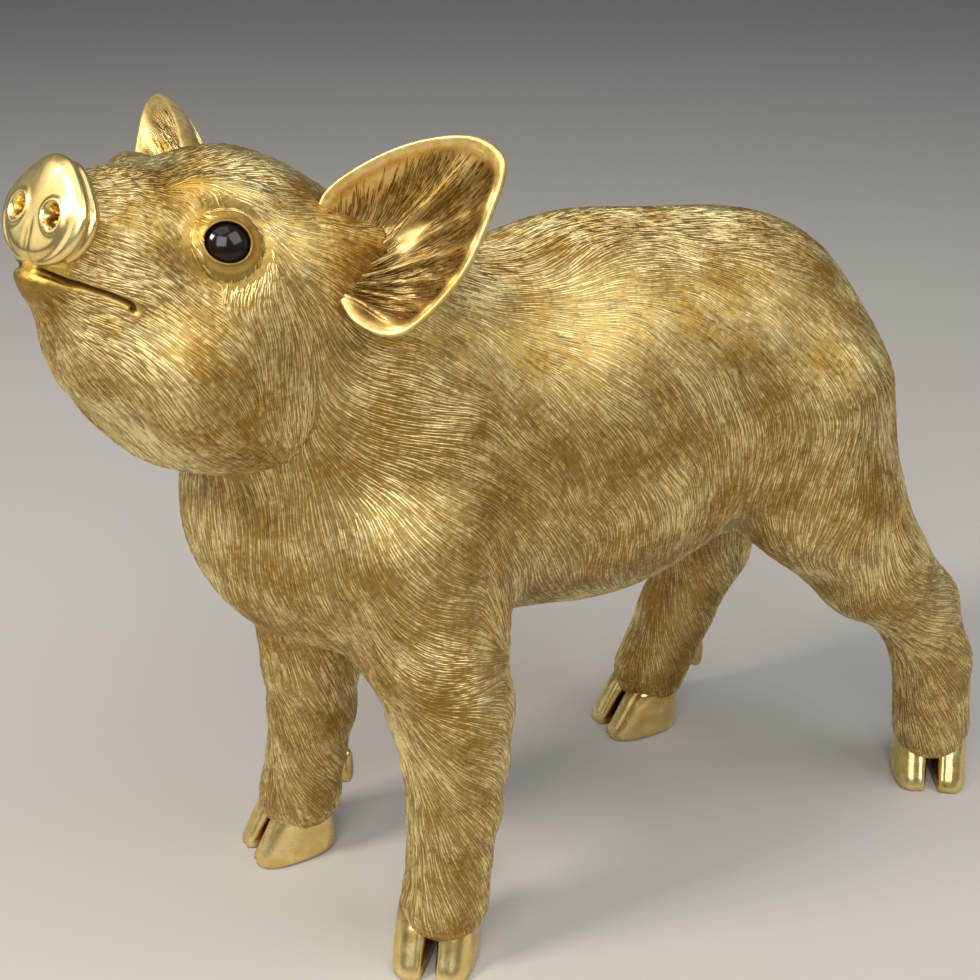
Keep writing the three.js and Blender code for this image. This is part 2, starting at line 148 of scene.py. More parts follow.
for ear in EARS.values():
    ear["faces"] = unit(np.array(ear["faces"]))
    tip_way = np.array(ear["points"])
    ear["points"] = unit(tip_way - ear["faces"] * (ear["faces"] @ tip_way))
    ear["across"] = np.cross(ear["faces"], ear["points"])
print("legs:", list(LEGS), "head axes:", HEAD_AXES.round(2).tolist())


def from_head(p):
    return SKULL + np.array(p, float) @ HEAD_AXES.T


def to_head(p):
    return (p - SKULL.astype(np.float32)) @ HEAD_AXES.astype(np.float32)


# %% [markdown]
# The plain clay of trunk, neck, head and legs. The mouth, the lids and the folds come after it,
# because they are drawn on its surface.

# %% Clay of the whole animal
def trunk_clay(p):
    chest = lump(p, (82, 0, 158), (57.5, 43, 53))
    barrel = lump(p, (9, 0, 165.5), (73, 48.5, 63.5))
    rump = lump(p, (-48, 0, 173), (47, 42, 48))
    trunk = soft_min(soft_min(chest, barrel, 24), rump, 24)
    return soft_min(trunk, limb(p, NECK, 20), 16)


def head_clay(q):
    distance = lump(q, (-2, 0, 0), (36, 35, 30.5))
    distance = soft_min(distance, limb(q, [(8, 0, -1, 28), (32, 0, -3, 19), (50, 0, -2, 12)], 8), 8)
    for side in (1, -1):
        distance = soft_min(distance, lump(q, (0, 15 * side, -24), (32, 20, 27)), 10)
    distance = soft_min(distance, limb(q, [(4, 0, -30, 24), (28, 0, -25, 16), (51, 0, -15, 8)], 8), 8)
    for ear in EARS.values():
        root = np.array(ear["root"])
        end = root + ear["points"] * 6 - ear["faces"] * 13
        distance = soft_min(distance, rod(q, (*root * 0.7, 14), (*end, 6.5)), 5)
    return distance


def plain_clay(p):
    trunk = trunk_clay(p)
    head = head_clay(to_head(p))
    distance = soft_min(trunk, head, NECK_BLEND)
    for joints in LEGS.values():
        distance = soft_min(distance, limb(p, joints, 4), LEG_BLEND)
    return distance


def slope(field, p, step=0.4):
    columns = []
    for axis in range(3):
        offset = np.zeros(3, np.float32)
        offset[axis] = step
        columns.append(field(p + offset) - field(p - offset))
    return unit(np.stack(columns, -1))


def settle(field, p, height=0.0, rounds=4):
    p = np.atleast_2d(np.array(p, np.float32))
    for _ in range(rounds):
        p = p + slope(field, p) * (height - field(p))[:, None]
    return p


print("clay at the middle of the skull:", plain_clay(SKULL.astype(np.float32)).round(1))


# %% [markdown]
# The face is drawn on the clay: a smiling mouth line that runs from under the snout to a tick in
# the cheek, a soft lid round each eye, and the crease between jowl and neck. Points are written in
# the head's own axes and then settled on the surface, so the lines lie exactly in it.

# %% Lines of the face and the tail
EYE = (25.4, 26.4, 5.2)
EYE_RADIUS = 7.0
EYE_DEPTH = 3.2
TAIL_THICK, TAIL_TAPER = 3.9, 0.58


def spline(a, b, c, d, t):
    return 0.5 * (2 * b + (c - a) * t + (2 * a - 5 * b + 4 * c - d) * t ** 2
                  + (3 * b - a - 3 * c + d) * t ** 3)


def curve_through(points, count):
    points = np.array(points, float)
    steps = np.linspace(0, len(points) - 1, count)
    padded = np.concatenate([points[:1], points, points[-1:]])
    i = np.minimum(steps.astype(int), len(points) - 2)
    return spline(*(padded[i + k] for k in range(4)), (steps - i)[:, None])


def distance_to_line(p, points):
    nearest = np.full(p.shape[:-1], 1e3, np.float32)
    for a, b in zip(points, points[1:]):
        a, b = a.astype(np.float32), b.astype(np.float32)
        share = np.clip(((p - a) @ (b - a)) / ((b - a) @ (b - a) + 1e-9), 0, 1)
        nearest = np.minimum(nearest, ((p - a - share[..., None] * (b - a)) ** 2).sum(-1))
    return np.sqrt(nearest)


half_mouth = [(38.1, 14.8, -16.6), (38.9, 14.1, -15.2), (43, 12.6, -14.7), (47.5, 10.8, -14.8),
              (51.5, 7.6, -14.6)]
mouth = half_mouth + [(55, 0, -14.2)] + [(x, -y, z) for x, y, z in half_mouth[::-1]]
MOUTH = settle(plain_clay, curve_through([from_head(p) for p in mouth], 34))
SEATS = {}
for name, side in SIDES:
    at = settle(plain_clay, from_head((EYE[0], EYE[1] * side, EYE[2])))[0]
    out = slope(plain_clay, at[None])[0]
    corner = settle(plain_clay, from_head((EYE[0] + 9, (EYE[1] - 3.2) * side, EYE[2] - 0.6)))[0]
    front = unit(corner - at - out * (out @ (corner - at)))
    SEATS[name] = {"centre": at - out * EYE_DEPTH, "surface": at, "out": out, "front": front,
                   "up": np.cross(front, out) * side}
tail_route = [(-91, -2, 193), (-97, -1, 182), (-98, 5, 171), (-98, 11, 161), (-97, 8, 151),
              (-97, -1, 149), (-97, -7, 157), (-98, -5, 166)]
TAIL = settle(plain_clay, curve_through(tail_route, 22), 1.2)
TAIL_RADII = TAIL_THICK * (1 - TAIL_TAPER * np.linspace(0, 1, len(TAIL)))
print("mouth line:", len(MOUTH), "points; eyes out along", SEATS["left"]["out"].round(2).tolist())


# %% [markdown]
# The finished clay adds those details. Seams between a leg and the trunk, and between the jowl and
# the neck, lie where the two distances are equal, so a groove there follows the join by itself.

# %% Clay with its details
MUZZLE_END = 56.5
WRINKLE_GAP = 4.6
LIP_AT, LIP_SIZE = (54.4, 0, -17.2), (3.9, 4.6, 3.4)


def tail_clay(p):
    distance = np.full(p.shape[:-1], 1e3, np.float32)
    near = (p[..., 0] < -80) & (p[..., 2] > 135)
    if near.any():
        joints = [(*point, radius) for point, radius in zip(TAIL.tolist(), TAIL_RADII.tolist())]
        distance[near] = limb(p[near], joints, 0.8)
    return distance


def eye_frame(q, name):
    seat = SEATS[name]
    offset = q - seat["centre"].astype(np.float32)
    return tuple(offset @ seat[axis].astype(np.float32) for axis in ("front", "up", "out"))


def front_lip(q):
    return 0.3 * smooth(49, 53, q[:, 0])


def sculpted(p):
    trunk = trunk_clay(p)
    q = to_head(p)
    head = head_clay(q)
    distance = soft_min(trunk, head, NECK_BLEND)
    distance = distance + 1.5 * (bell(head - trunk, 0, 3.0) * smooth(6, -14, q[..., 2]))
    for joints in LEGS.values():
        leg = limb(p, joints, 4)
        armpit = bell(leg - trunk, 0, 5.0) * smooth(132, 112, p[..., 2])
        distance = soft_min(distance, leg, LEG_BLEND) + 0.5 * armpit
    distance = soft_min(distance, tail_clay(p), 1.6)
    muzzle = smooth(34, 40, q[..., 0]) * smooth(56, 50, q[..., 0]) * smooth(-4, 6, q[..., 2])
    distance = distance + 0.2 * muzzle * np.cos(q[..., 0] * 2 * np.pi / WRINKLE_GAP)
    distance = soft_max(distance, q[..., 0] - MUZZLE_END - 1.5 * smooth(-8, -13, q[..., 2]), 1.2)
    distance = soft_min(distance, lump(q, LIP_AT, LIP_SIZE), 2.5)
    near = (distance < 8) & (q[..., 0] > 26) & (q[..., 2] < -6)
    if near.any():
        groove = distance_to_line(p[near], MOUTH) - front_lip(q[near])
        swell = 0.4 * bell(groove, 2.2, 1.3)
        distance[near] = soft_max(distance[near] - swell, 0.4 - groove, 0.8)
    for name in SEATS:
        u, v, w = eye_frame(p, name)
        brow = lump(np.stack([u, v, w], -1), (1, 12.5, EYE_DEPTH - 3), (12, 5, 4.2))
        distance = soft_min(distance, brow, 4)
        distance = soft_max(distance, EYE_RADIUS + 0.12 - np.sqrt(u * u + v * v + w * w), 0.4)
    return distance


print("muzzle clay ends at", MUZZLE_END, "mm, lip at", LIP_AT)


# %% [markdown]
# Each eye looks out of an oval opening. The lids are a shell round the ball, with a furrow above
# them and a soft bag below. They are too thin for the net that makes the hide, so they stay out of
# the clay it is made from, and only the hairs and the eyelid pieces are laid on them.

# %% Clay with lids
LID_THICK = 1.0
OPEN_LONG, OPEN_HIGH = 5.35, 4.85


def eye_opening(u, v):
    return (np.hypot((u - 0.5) / OPEN_LONG, (v + 0.15) / OPEN_HIGH) - 1) * OPEN_HIGH


def lidded(p):
    distance = sculpted(p)
    for name in SEATS:
        u, v, w = eye_frame(p, name)
        reach = np.sqrt(u * u + v * v)
        ball = np.sqrt(u * u + v * v + w * w)
        distance = soft_min(distance, ball - (EYE_RADIUS + LID_THICK), 3.4)
        furrow = np.hypot(reach - 9.6, 0.7 * (w - EYE_DEPTH - 0.2)) + 0.6 * smooth(0, 5, np.abs(u) - v)
        distance = soft_max(distance, 0.6 - furrow, 1.3)
        bag = np.hypot(reach - 9.9, 0.7 * (w - EYE_DEPTH)) + 0.5 * smooth(-1, 6, v)
        distance = soft_max(distance, 0.4 - bag, 1.3)
    return distance


print("eye opening:", round(2 * OPEN_LONG, 1), "by", round(2 * OPEN_HIGH, 1), "mm")


# %% [markdown]
# Blender has metaballs and a voxel remesh, but neither keeps a crease or a thin lid. Surface nets
# do: space is cut into small cubes, each cube that the surface crosses gets one vertex, and each
# grid edge that it crosses gets one quad. The vertices are then drawn onto the clay.

# %% Surface nets
SKIN_STEP = 2.3
LOW = np.array([-153.0, -66.0, 6.0])
HIGH = np.array([188.0, 74.0, 276.0])


def along(axis, array, start, stop):
    cut = [slice(None)] * 3
    cut[axis] = slice(start, stop)
    return array[tuple(cut)]


def surface_net(field, low, high, step):
    axes = [np.arange(a, b + step, step, dtype=np.float32) for a, b in zip(low, high)]
    value = np.empty([len(a) for a in axes], np.float32)
    for i in range(0, len(axes[0]), 8):
        value[i:i + 8] = field(np.stack(np.meshgrid(axes[0][i:i + 8], *axes[1:], indexing="ij"), -1))
    inside = value < 0
    total = np.zeros([n - 1 for n in value.shape] + [3], np.float32)
    crossings = np.zeros([n - 1 for n in value.shape], np.float32)
    edges = []
    for axis in range(3):
        a, b = along(axis, value, None, -1), along(axis, value, 1, None)
        at = np.argwhere((a < 0) != (b < 0))
        from_value, to_value = a[tuple(at.T)], b[tuple(at.T)]
        place = at.astype(np.float32)
        place[:, axis] += from_value / (from_value - to_value)
        one, two = np.eye(3, dtype=int)[(axis + 1) % 3], np.eye(3, dtype=int)[(axis + 2) % 3]
        for shift in (0 * one, one, one + two, two):
            np.add.at(total, tuple((at - shift).T), place)
            np.add.at(crossings, tuple((at - shift).T), 1)
        edges.append((at, one, two, from_value < 0))
    used = crossings > 0
    number = np.full(used.shape, -1)
    number[used] = np.arange(used.sum())
    quads = []
    for at, one, two, outward in edges:
        ring = np.stack([number[tuple((at - shift).T)] for shift in (0 * one, one, one + two, two)], 1)
        ring[~outward] = ring[~outward][:, ::-1]
        quads.append(ring)
    points = total[used] / crossings[used][:, None] * step + np.array(low, np.float32)
    return points, np.concatenate(quads)


def draw_onto(field, points, rounds=2, step=0.4):
    for _ in range(rounds):
        points = points - slope(field, points, step) * field(points)[:, None]
    return points


hide_points, hide_quads = surface_net(sculpted, LOW, HIGH, SKIN_STEP)
hide_points = draw_onto(sculpted, hide_points)
print("clay skin:", len(hide_points), "vertices,", len(hide_quads), "quads")


# %% [markdown]
# Everything so far is in the modeller's own millimetres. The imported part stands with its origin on
# the ground below its middle, so one shift, read off the left eye's solid, brings every piece into
# the part's frame. A piece is built with its place in its mesh, and its object stays at the origin.

# %% From millimetres to the part's frame
eye_low, eye_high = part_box("left_eye")
SHIFT = np.array((eye_low + eye_high) / 2) / MM - SEATS["left"]["centre"]


def add_object(name, data):
    thing = bpy.data.objects.new(name, data)
    bpy.context.scene.collection.objects.link(thing)
    return thing


def add_attribute(mesh, key, values):
    layer = mesh.attributes.new(key, "FLOAT", "POINT")
    layer.data.foreach_set("value", np.array(values, np.float32))


def add_piece(name, points, faces, material, wash=None, stands_for=(), slot="antique_gold"):
    mesh = bpy.data.meshes.new(name)
    mesh.from_pydata(((np.array(points) + SHIFT) * MM).tolist(), [], [list(face) for face in faces])
    if wash is not None:
        add_attribute(mesh, "wash", wash)
    mesh.polygons.foreach_set("use_smooth", [True] * len(mesh.polygons))
    mesh.materials.append(material)
    mesh.update()
    piece = add_object(name, mesh)
    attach(piece, BODY)
    if stands_for:
        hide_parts(*stands_for)
    return piece


print("shift in millimetres:", SHIFT.round(3).tolist())


# %% [markdown]
# The casting is gilded, then a brown wash is wiped over it and stays in the hollows. Real gold leaf
# or bronze paint is a metal to the eye: all colour is in the reflection. So the materials are full
# metals with the default index of refraction, and only colour, roughness and the wash change. One
# recipe makes them all: a cloudy change of tone, fine specks that also vary the polish, and the
# wash, with painted shade in some hollows, that an attribute of the mesh puts on.

# %% Recipe of the golds
CLOUD_SIZE = 22
SPECK_SHARE = 0.45
MIDDLE_TONE = 0.72


def linear(hex_colour):
    parts = [int(hex_colour[i:i + 2], 16) / 255 for i in (1, 3, 5)]
    return tuple(c / 12.92 if c <= 0.04045 else ((c + 0.055) / 1.055) ** 2.4 for c in parts) + (1,)


def add_node(tree, kind, settings=None, **links):
    node = tree.nodes.new(kind)
    for key, value in (settings or {}).items():
        if isinstance(key, int) or key in node.inputs:
            node.inputs[key].default_value = value
        else:
            setattr(node, key, value)
    for key, source in links.items():
        socket = node.inputs[int(key[1:])] if key[1:].isdigit() else node.inputs[key.replace("_", " ")]
        tree.links.new(source, socket)
    return node


def mix_colours(tree, share, first, second):
    mix = add_node(tree, "ShaderNodeMix", {"data_type": "RGBA"}, Factor=share)
    for socket, colour in ((mix.inputs[6], first), (mix.inputs[7], second)):
        if isinstance(colour, str):
            socket.default_value = linear(colour)
        else:
            tree.links.new(colour, socket)
    return mix.outputs[2]


def new_material(name):
    material = bpy.data.materials.new(name)
    material.use_nodes = True
    return material, material.node_tree, material.node_tree.nodes["Principled BSDF"].inputs


def gold(name, bright, middle, wash, rough, mottle, wash_attribute="wash", bump=0.0, grain=1.4):
    material, tree, shader = new_material(name)
    shader["Metallic"].default_value = 1.0
    place = add_node(tree, "ShaderNodeTexCoord").outputs["Object"]
    clouds = {"Scale": 1 / (CLOUD_SIZE * MM), "Detail": 5.0, "Roughness": 0.7}
    cloud = add_node(tree, "ShaderNodeTexNoise", clouds, Vector=place)
    speck = add_node(tree, "ShaderNodeTexNoise", {"Scale": 1 / (grain * MM), "Detail": 2.0}, Vector=place)
    both = add_node(tree, "ShaderNodeMath", {"operation": "MULTIPLY_ADD", 1: SPECK_SHARE},
                    _0=speck.outputs["Fac"], _2=cloud.outputs["Fac"])
    tones = {"From Min": MIDDLE_TONE - mottle, "From Max": MIDDLE_TONE + mottle}
    tone = add_node(tree, "ShaderNodeMapRange", tones, Value=both.outputs[0])
    paint = mix_colours(tree, tone.outputs[0], middle, bright)
    layer = add_node(tree, "ShaderNodeAttribute", {"attribute_name": wash_attribute})
    paint = mix_colours(tree, layer.outputs["Fac"], paint, wash)
    tree.links.new(paint, shader["Base Color"])
    dull = add_node(tree, "ShaderNodeMapRange", {"To Min": rough - 0.07, "To Max": rough + 0.09},
                    Value=speck.outputs["Fac"])
    tree.links.new(dull.outputs[0], shader["Roughness"])
    if bump:
        relief = add_node(tree, "ShaderNodeBump", {"Strength": bump, "Distance": 0.3 * MM},
                          Height=speck.outputs["Fac"])
        tree.links.new(relief.outputs["Normal"], shader["Normal"])
    print("gold:", name)
    return material


# %% The golds and the eye glass
# Gilding in the gaps of the coat, dull and brown with wash and painted shade: it makes the hairs above it
# stand out.
HIDE_GOLD = gold("washed_and_shaded_gold_between_the_hairs", "#DDBE70", "#BC9846", "#4A3010", 0.46, 0.16, bump=0.5)
# Gilding on top of the hairs, rubbed clean, with a darker hair here and there: it gives the sheen.
HAIR_GOLD = gold("antique_gold_on_the_hairs", "#FFEEB0", "#B9944A", "#5E4216", 0.4, 0.14, "shade")
# The snout, burnished hard: clear reflections, and wash only in its grooves and nostrils.
BURNISHED = gold("burnished_gold", "#FFEAA8", "#E8C878", "#6A3E16", 0.25, 0.24, bump=0.12, grain=3.2)
# The claws, burnished over a cast surface that is slightly uneven: broken, shiny reflections.
# Its copper wash also carries painted shade in the cleft and along the top and the sole.
HOOF_GOLD = gold("polished_gold_of_the_hooves", "#FFECAC", "#DDBB6C", "#8A5220", 0.25, 0.22,
                 bump=0.16, grain=4.0)
# The ears, only rubbed with a cloth: a broad soft shine on rim and folds, wash between them, and
# painted shade deep in the hollow with painted light towards its top.
EAR_GOLD = gold("rubbed_gold_of_the_ears", "#F4DE9C", "#CDA657", "#553711", 0.46, 0.2,
                bump=0.3, grain=1.8)
# The eyes, glass stained nearly black: no metal, only clear small highlights.
EYE_GLASS, glass, glass_inputs = new_material("dark_eye_glass")
glass_place = add_node(glass, "ShaderNodeTexCoord").outputs["Object"]
depth = add_node(glass, "ShaderNodeTexNoise", {"Scale": 1 / (5 * MM), "Detail": 1.0}, Vector=glass_place)
glass.links.new(mix_colours(glass, depth.outputs["Fac"], "#0B0806", "#1D120C"), glass_inputs["Base Color"])
glass_inputs["Roughness"].default_value = 0.13
glass_inputs["Specular IOR Level"].default_value = 0.3
glass_inputs["IOR"].default_value = 1.52
print("glass:", EYE_GLASS.name)


# %% [markdown]
# A pig's coat has a parting for every part of the body: over the forehead it runs from the snout to
# the ears, down the cheeks, back along the spine, slanting down the flanks and nearly upright on
# the thighs. A few arrows say so, each with a place, and every point takes the mean of the nearest
# arrows, laid flat on the surface.

# %% Lie of the coat
ARROWS = [
    ((20, 0, 228), (-1, 0, -0.05)), ((62, 0, 222), (-1, 0, -0.2)), ((-60, 0, 216), (-1, 0, -0.35)),
    ((-92, 0, 190), (-0.35, 0, -1)), ((-95, 0, 150), (0, 0, -1)),
    ((95, 45, 190), (-0.85, 0.1, -0.5)), ((60, 46, 185), (-0.7, 0, -0.75)),
    ((10, 49, 180), (-0.6, 0, -0.85)),
    ((-35, 45, 185), (-0.5, 0, -0.85)), ((-70, 38, 185), (-0.4, 0, -0.9)),
    ((10, 42, 130), (-0.15, 0, -1)), ((-30, 38, 135), (-0.15, 0, -1)), ((20, 10, 103), (-1, 0, 0)),
    ((60, 44, 140), (-0.4, 0, -1)), ((88, 52, 140), (-0.85, 0, -0.5)),
    ((132, 0, 150), (0.2, 0, -1)), ((122, 22, 160), (0, 0.1, -1)), ((110, 38, 150), (-0.35, 0, -1)),
    ((-60, 46, 145), (0.12, 0, -1)), ((-45, 44, 150), (0.2, 0, -1)), ((-82, 44, 118), (-0.45, 0, -0.9)),
    ((-104, 42, 92), (-0.95, 0, -0.35)), ((-118, 42, 70), (-0.7, 0, -0.8)), ((-125, 40, 40), (-0.5, 0, -1)),
    ((-78, -42, 100), (-0.1, 0, -1)), ((-70, -42, 60), (-0.5, 0, -1)), ((-60, -44, 30), (-0.4, 0, -1)),
    ((82, 50, 118), (-1, 0, -0.2)), ((78, 42, 92), (-0.8, 0, -0.6)), ((75, 40, 60), (-0.5, 0, -1)),
    ((77, 38, 30), (-0.45, 0, -1)), ((98, 35, 100), (-0.2, 0.1, -1)), ((62, 40, 80), (-0.3, 0, -1)),
]
FACE_ARROWS = [
    ((46, 0, 14), (-1, 0, 0.1)), ((25, 0, 26), (-1, 0, 0.2)), ((0, 0, 31), (-1, 0, 0)),
    ((25, 14, 22), (-1, 0.25, 0.1)), ((5, 22, 24), (-1, 0.35, 0.1)), ((42, 14, 6), (-0.95, 0.35, 0.15)),
    ((40, 17, -5), (-1, 0.2, -0.15)), ((30, 24, -8), (-0.9, 0.2, -0.45)), ((12, 33, -4), (-0.75, 0, -0.7)),
    ((14, 34, 8), (-1, 0.1, 0)), ((8, 36, -16), (-0.55, 0, -0.85)), ((-12, 38, -20), (-0.45, 0, -0.9)),
    ((20, 26, -24), (-0.85, 0, -0.6)), ((38, 10, -26), (-1, 0, -0.3)), ((15, 12, -42), (-0.9, 0, -0.5)),
    ((-18, 30, 5), (-0.9, 0, -0.5)), ((-20, 15, 25), (-1, 0, -0.3)),
]


def lie_of_coat(points, normals):
    q = to_head(points)
    in_head = smooth(-6, 8, trunk_clay(points) - head_clay(q))[:, None]
    blends = []
    for arrows, places in ((ARROWS, points), (FACE_ARROWS, q)):
        total = np.zeros(points.shape, np.float32)
        mirrored = places * np.array([1, -1, 1], np.float32)
        for at, way in arrows:
            at, way = np.array(at, np.float32), unit(np.array(way, np.float32))
            near = 1 / (((places - at) ** 2).sum(-1) + 60) ** 2
            total += near[:, None] * way
            if places is q or abs(at[1]) < 50 and at[2] > 125:
                near = 1 / (((mirrored - at) ** 2).sum(-1) + 60) ** 2
                total += near[:, None] * way * np.array([1, -1, 1], np.float32)
        blends.append(unit(total))
    flow = blends[0] * (1 - in_head) + blends[1] @ HEAD_AXES.T.astype(np.float32) * in_head
    for name in SEATS:
        u, v, w = eye_frame(points, name)
        around = v[:, None] * SEATS[name]["front"] - u[:, None] * SEATS[name]["up"]
        near_eye = bell(np.sqrt(u * u + v * v), 11, 4.5) * (np.abs(w) < 14)
        flow = flow + unit(around) * (0.7 * near_eye * np.sign(u + 1e-3))[:, None]
    flow = unit(flow - normals * (flow * normals).sum(-1, keepdims=True))
    swirl = np.zeros(len(points), np.float32)
    chance = np.random.default_rng(SEED)
    for _ in range(7):
        wave = chance.normal(0, 1, 3) * 0.13
        swirl += 0.075 * np.sin(points @ wave.astype(np.float32) + chance.uniform(0, 6.28))
    side = np.cross(normals, flow)
    return flow * np.cos(swirl)[:, None] + side * np.sin(swirl)[:, None]


print("arrows:", len(ARROWS), "on the body and", len(FACE_ARROWS), "on the head")


# %% [markdown]
# The skin under the hair gets facts at each point: the way the hair lies, how densely it grows
# (none on lips, lids, snout and hooves), how long it is, which region's coat it belongs to, and how
# much dark wash sits there.

# %% Facts of the skin
HEAD, SHOULDERS, HINDQUARTERS, SHANKS = range(4)
HOOF_TOP = 18.2


def mouth_reach(points):
    return distance_to_line(points.astype(np.float32), MOUTH)


def eye_reach(points):
    reach = np.full(len(points), 1e3)
    for name in SEATS:
        u, v, w = eye_frame(points, name)
        reach = np.minimum(reach, np.sqrt(u * u + v * v + 0.3 * w * w))
    return reach


def facts(points):
    q = to_head(points)
    normals = slope(sculpted, points)
    head, trunk = head_clay(q), trunk_clay(points)
    legs = np.stack([limb(points, joints, 4) for joints in LEGS.values()])
    on_head = smooth(-3, 3, trunk - head)
    eye = eye_reach(points)
    lip = mouth_reach(points) - front_lip(q)
    lip_tip = lump(q, LIP_AT, LIP_SIZE)
    feet = np.stack([np.linalg.norm(points[:, :2] - np.array(foot[:2]), axis=1)
                     for foot in FEET.values()])
    cuff = smooth(33, 20, points[:, 2]) * (feet.min(0) < 26)
    grows = smooth(5.4, 6.2, eye) * smooth(0.9, 1.8, lip) * smooth(0.3, 1.0, lip_tip)
    grows = grows * (1 - smooth(53, 55, q[:, 0]) * smooth(-15, -13, q[:, 2]))
    grows = np.where(points[:, 2] < HOOF_TOP, 0.0, grows)
    length = 1 - 0.22 * on_head - 0.34 * smooth(20, 9, eye) - 0.25 * smooth(30, 46, q[:, 0]) * on_head
    length = length - 0.1 * cuff
    region = np.where(on_head > 0.5, HEAD, np.where(points[:, 0] > 8, SHOULDERS, HINDQUARTERS))
    region = np.where((points[:, 2] < 112) & (legs.min(0) < 6), SHANKS, region)
    wash = 0.95 * smooth(1.05, 0.45, lip) + 0.3 * smooth(21, 17, points[:, 2])
    return {"normals": normals, "flow": lie_of_coat(points, normals), "coat": grows, "length": length,
            "region": region, "wash": np.clip(wash, 0, 1)}


print("mouth corner to eye, in millimetres:", eye_reach(MOUTH[:1]).round(1))


# %% [markdown]
# The hide is the casting's own surface, seen between the hairs. It is the net of the clay, cut
# finer on the head and three times more along the mouth, where a groove about a millimetre wide
# has to keep its edges. After each cut the new points are drawn onto the clay again.

# %% The hide
def refine(points, quads, chosen):
    work = bmesh.new()
    vertices = [work.verts.new(p) for p in points.tolist()]
    for quad in quads.tolist():
        work.faces.new([vertices[i] for i in quad])
    work.verts.index_update()
    picked = [edge for edge in work.edges if all(chosen[vertex.index] for vertex in edge.verts)]
    bmesh.ops.subdivide_edges(work, edges=picked, cuts=1, use_grid_fill=True)
    bmesh.ops.triangulate(work, faces=work.faces[:], quad_method="SHORT_EDGE")
    work.verts.ensure_lookup_table()
    work.verts.index_update()
    points = np.array([vertex.co[:] for vertex in work.verts], np.float32)
    faces = np.array([[vertex.index for vertex in face.verts] for face in work.faces])
    work.free()
    return points, faces


q = to_head(hide_points)
hide_points, hide_faces = refine(hide_points, hide_quads, q[:, 0] > 10)
hide_points = draw_onto(sculpted, hide_points)
for reach, step in ((6.0, 0.3), (2.6, 0.2), (1.7, 0.1)):
    hide_points, hide_faces = refine(hide_points, hide_faces, mouth_reach(hide_points) < reach)
    hide_points = draw_onto(sculpted, hide_points, 2, step)
skin = facts(hide_points)
# Wash and painted shade: the skin between the hairs is darker where hair grows, as in shade.
hide_wash_and_shade = 0.08 + 0.36 * skin["coat"] * (1 - skin["wash"]) + 0.9 * skin["wash"]
add_piece("hide", hide_points, hide_faces.tolist(), HIDE_GOLD, hide_wash_and_shade, ("piglet",))
print("hide:", len(hide_points), "vertices,", len(hide_faces), "triangles")


# %% [markdown]
# The coat is thousands of engraved hairs, laid like tiles: each covers the gap between two others.
# Points are scattered over the skin and one is kept only where no kept neighbour lies within a
# long thin ellipse along the coat. From each point a line is then walked over the clay.

# %% Where the hairs grow
HAIR_STEPS = 2
CANDIDATES = 90000
hair_chance = np.random.default_rng(SEED)


def scatter(chosen, count):
    corners = hide_points[chosen]
    area = np.linalg.norm(np.cross(corners[:, 1] - corners[:, 0], corners[:, 2] - corners[:, 0]), axis=1)
    pick = hair_chance.choice(len(area), count, p=area / area.sum())
    a, b = hair_chance.random(count), hair_chance.random(count)
    a, b = np.where(a + b > 1, 1 - a, a), np.where(a + b > 1, 1 - b, b)
    weights = np.stack([1 - a - b, a, b], 1)
    blend = {key: (skin[key][chosen[pick]].T * weights.T).sum(-2).T
             for key in ("flow", "normals", "coat", "length")}
    points = (corners[pick] * weights[..., None]).sum(1)
    grown = hair_chance.random(count) < blend["coat"]
    return points[grown], {key: values[grown] for key, values in blend.items()}


def lay_like_tiles(points, skin_facts, long, wide):
    flow, across = unit(skin_facts["flow"]), unit(np.cross(skin_facts["normals"], skin_facts["flow"]))
    along_gap, across_gap = long * skin_facts["length"], wide * skin_facts["length"] ** 0.5
    cells = np.floor(points / long).astype(int)
    kept, home = [], {}
    ways = [(i, j, k) for i in (-1, 0, 1) for j in (-1, 0, 1) for k in (-1, 0, 1)]
    for n, (x, y, z) in enumerate(cells.tolist()):
        near = [m for i, j, k in ways for m in home.get((x + i, y + j, z + k), ())]
        if near:
            apart = points[near] - points[n]
            reach = (apart @ flow[n] / along_gap[n]) ** 2 + (apart @ across[n] / across_gap[n]) ** 2
            if (reach < 1).any():
                continue
        home.setdefault((x, y, z), []).append(n)
        kept.append(n)
    return np.array(kept)


def walk(field, points, skin_facts, long):
    length = long * skin_facts["length"] * hair_chance.uniform(1.1, 1.6, len(points))
    rounds = 4 if field is lidded else 1
    at = settle(field, points, 0, rounds)
    line = [at]
    for step in range(HAIR_STEPS):
        at = at + lie_of_coat(at, slope(field, at)) * (length / HAIR_STEPS)[:, None]
        at = settle(field, at, 0, rounds)
        line.append(at)
    return np.stack(line, 1)


print("a hair is walked in", HAIR_STEPS, "steps")


# %% [markdown]
# Geometry Nodes turn the walked lines into hairs: a curve along each line, thick in the middle and
# thin at the ends, swept with a small four-sided section that is half sunk in the skin. A hair
# system could comb a coat too, but its hairs are drawn by the renderer and can't be exported.

# %% Geometry Nodes that draw a hair along each line
HAIR_SIDES = 4
HAIR_TAPER = np.array([0.6, 1.0, 0.45])
HAIR_LIFT = np.array([-0.22, -0.06, -0.1])


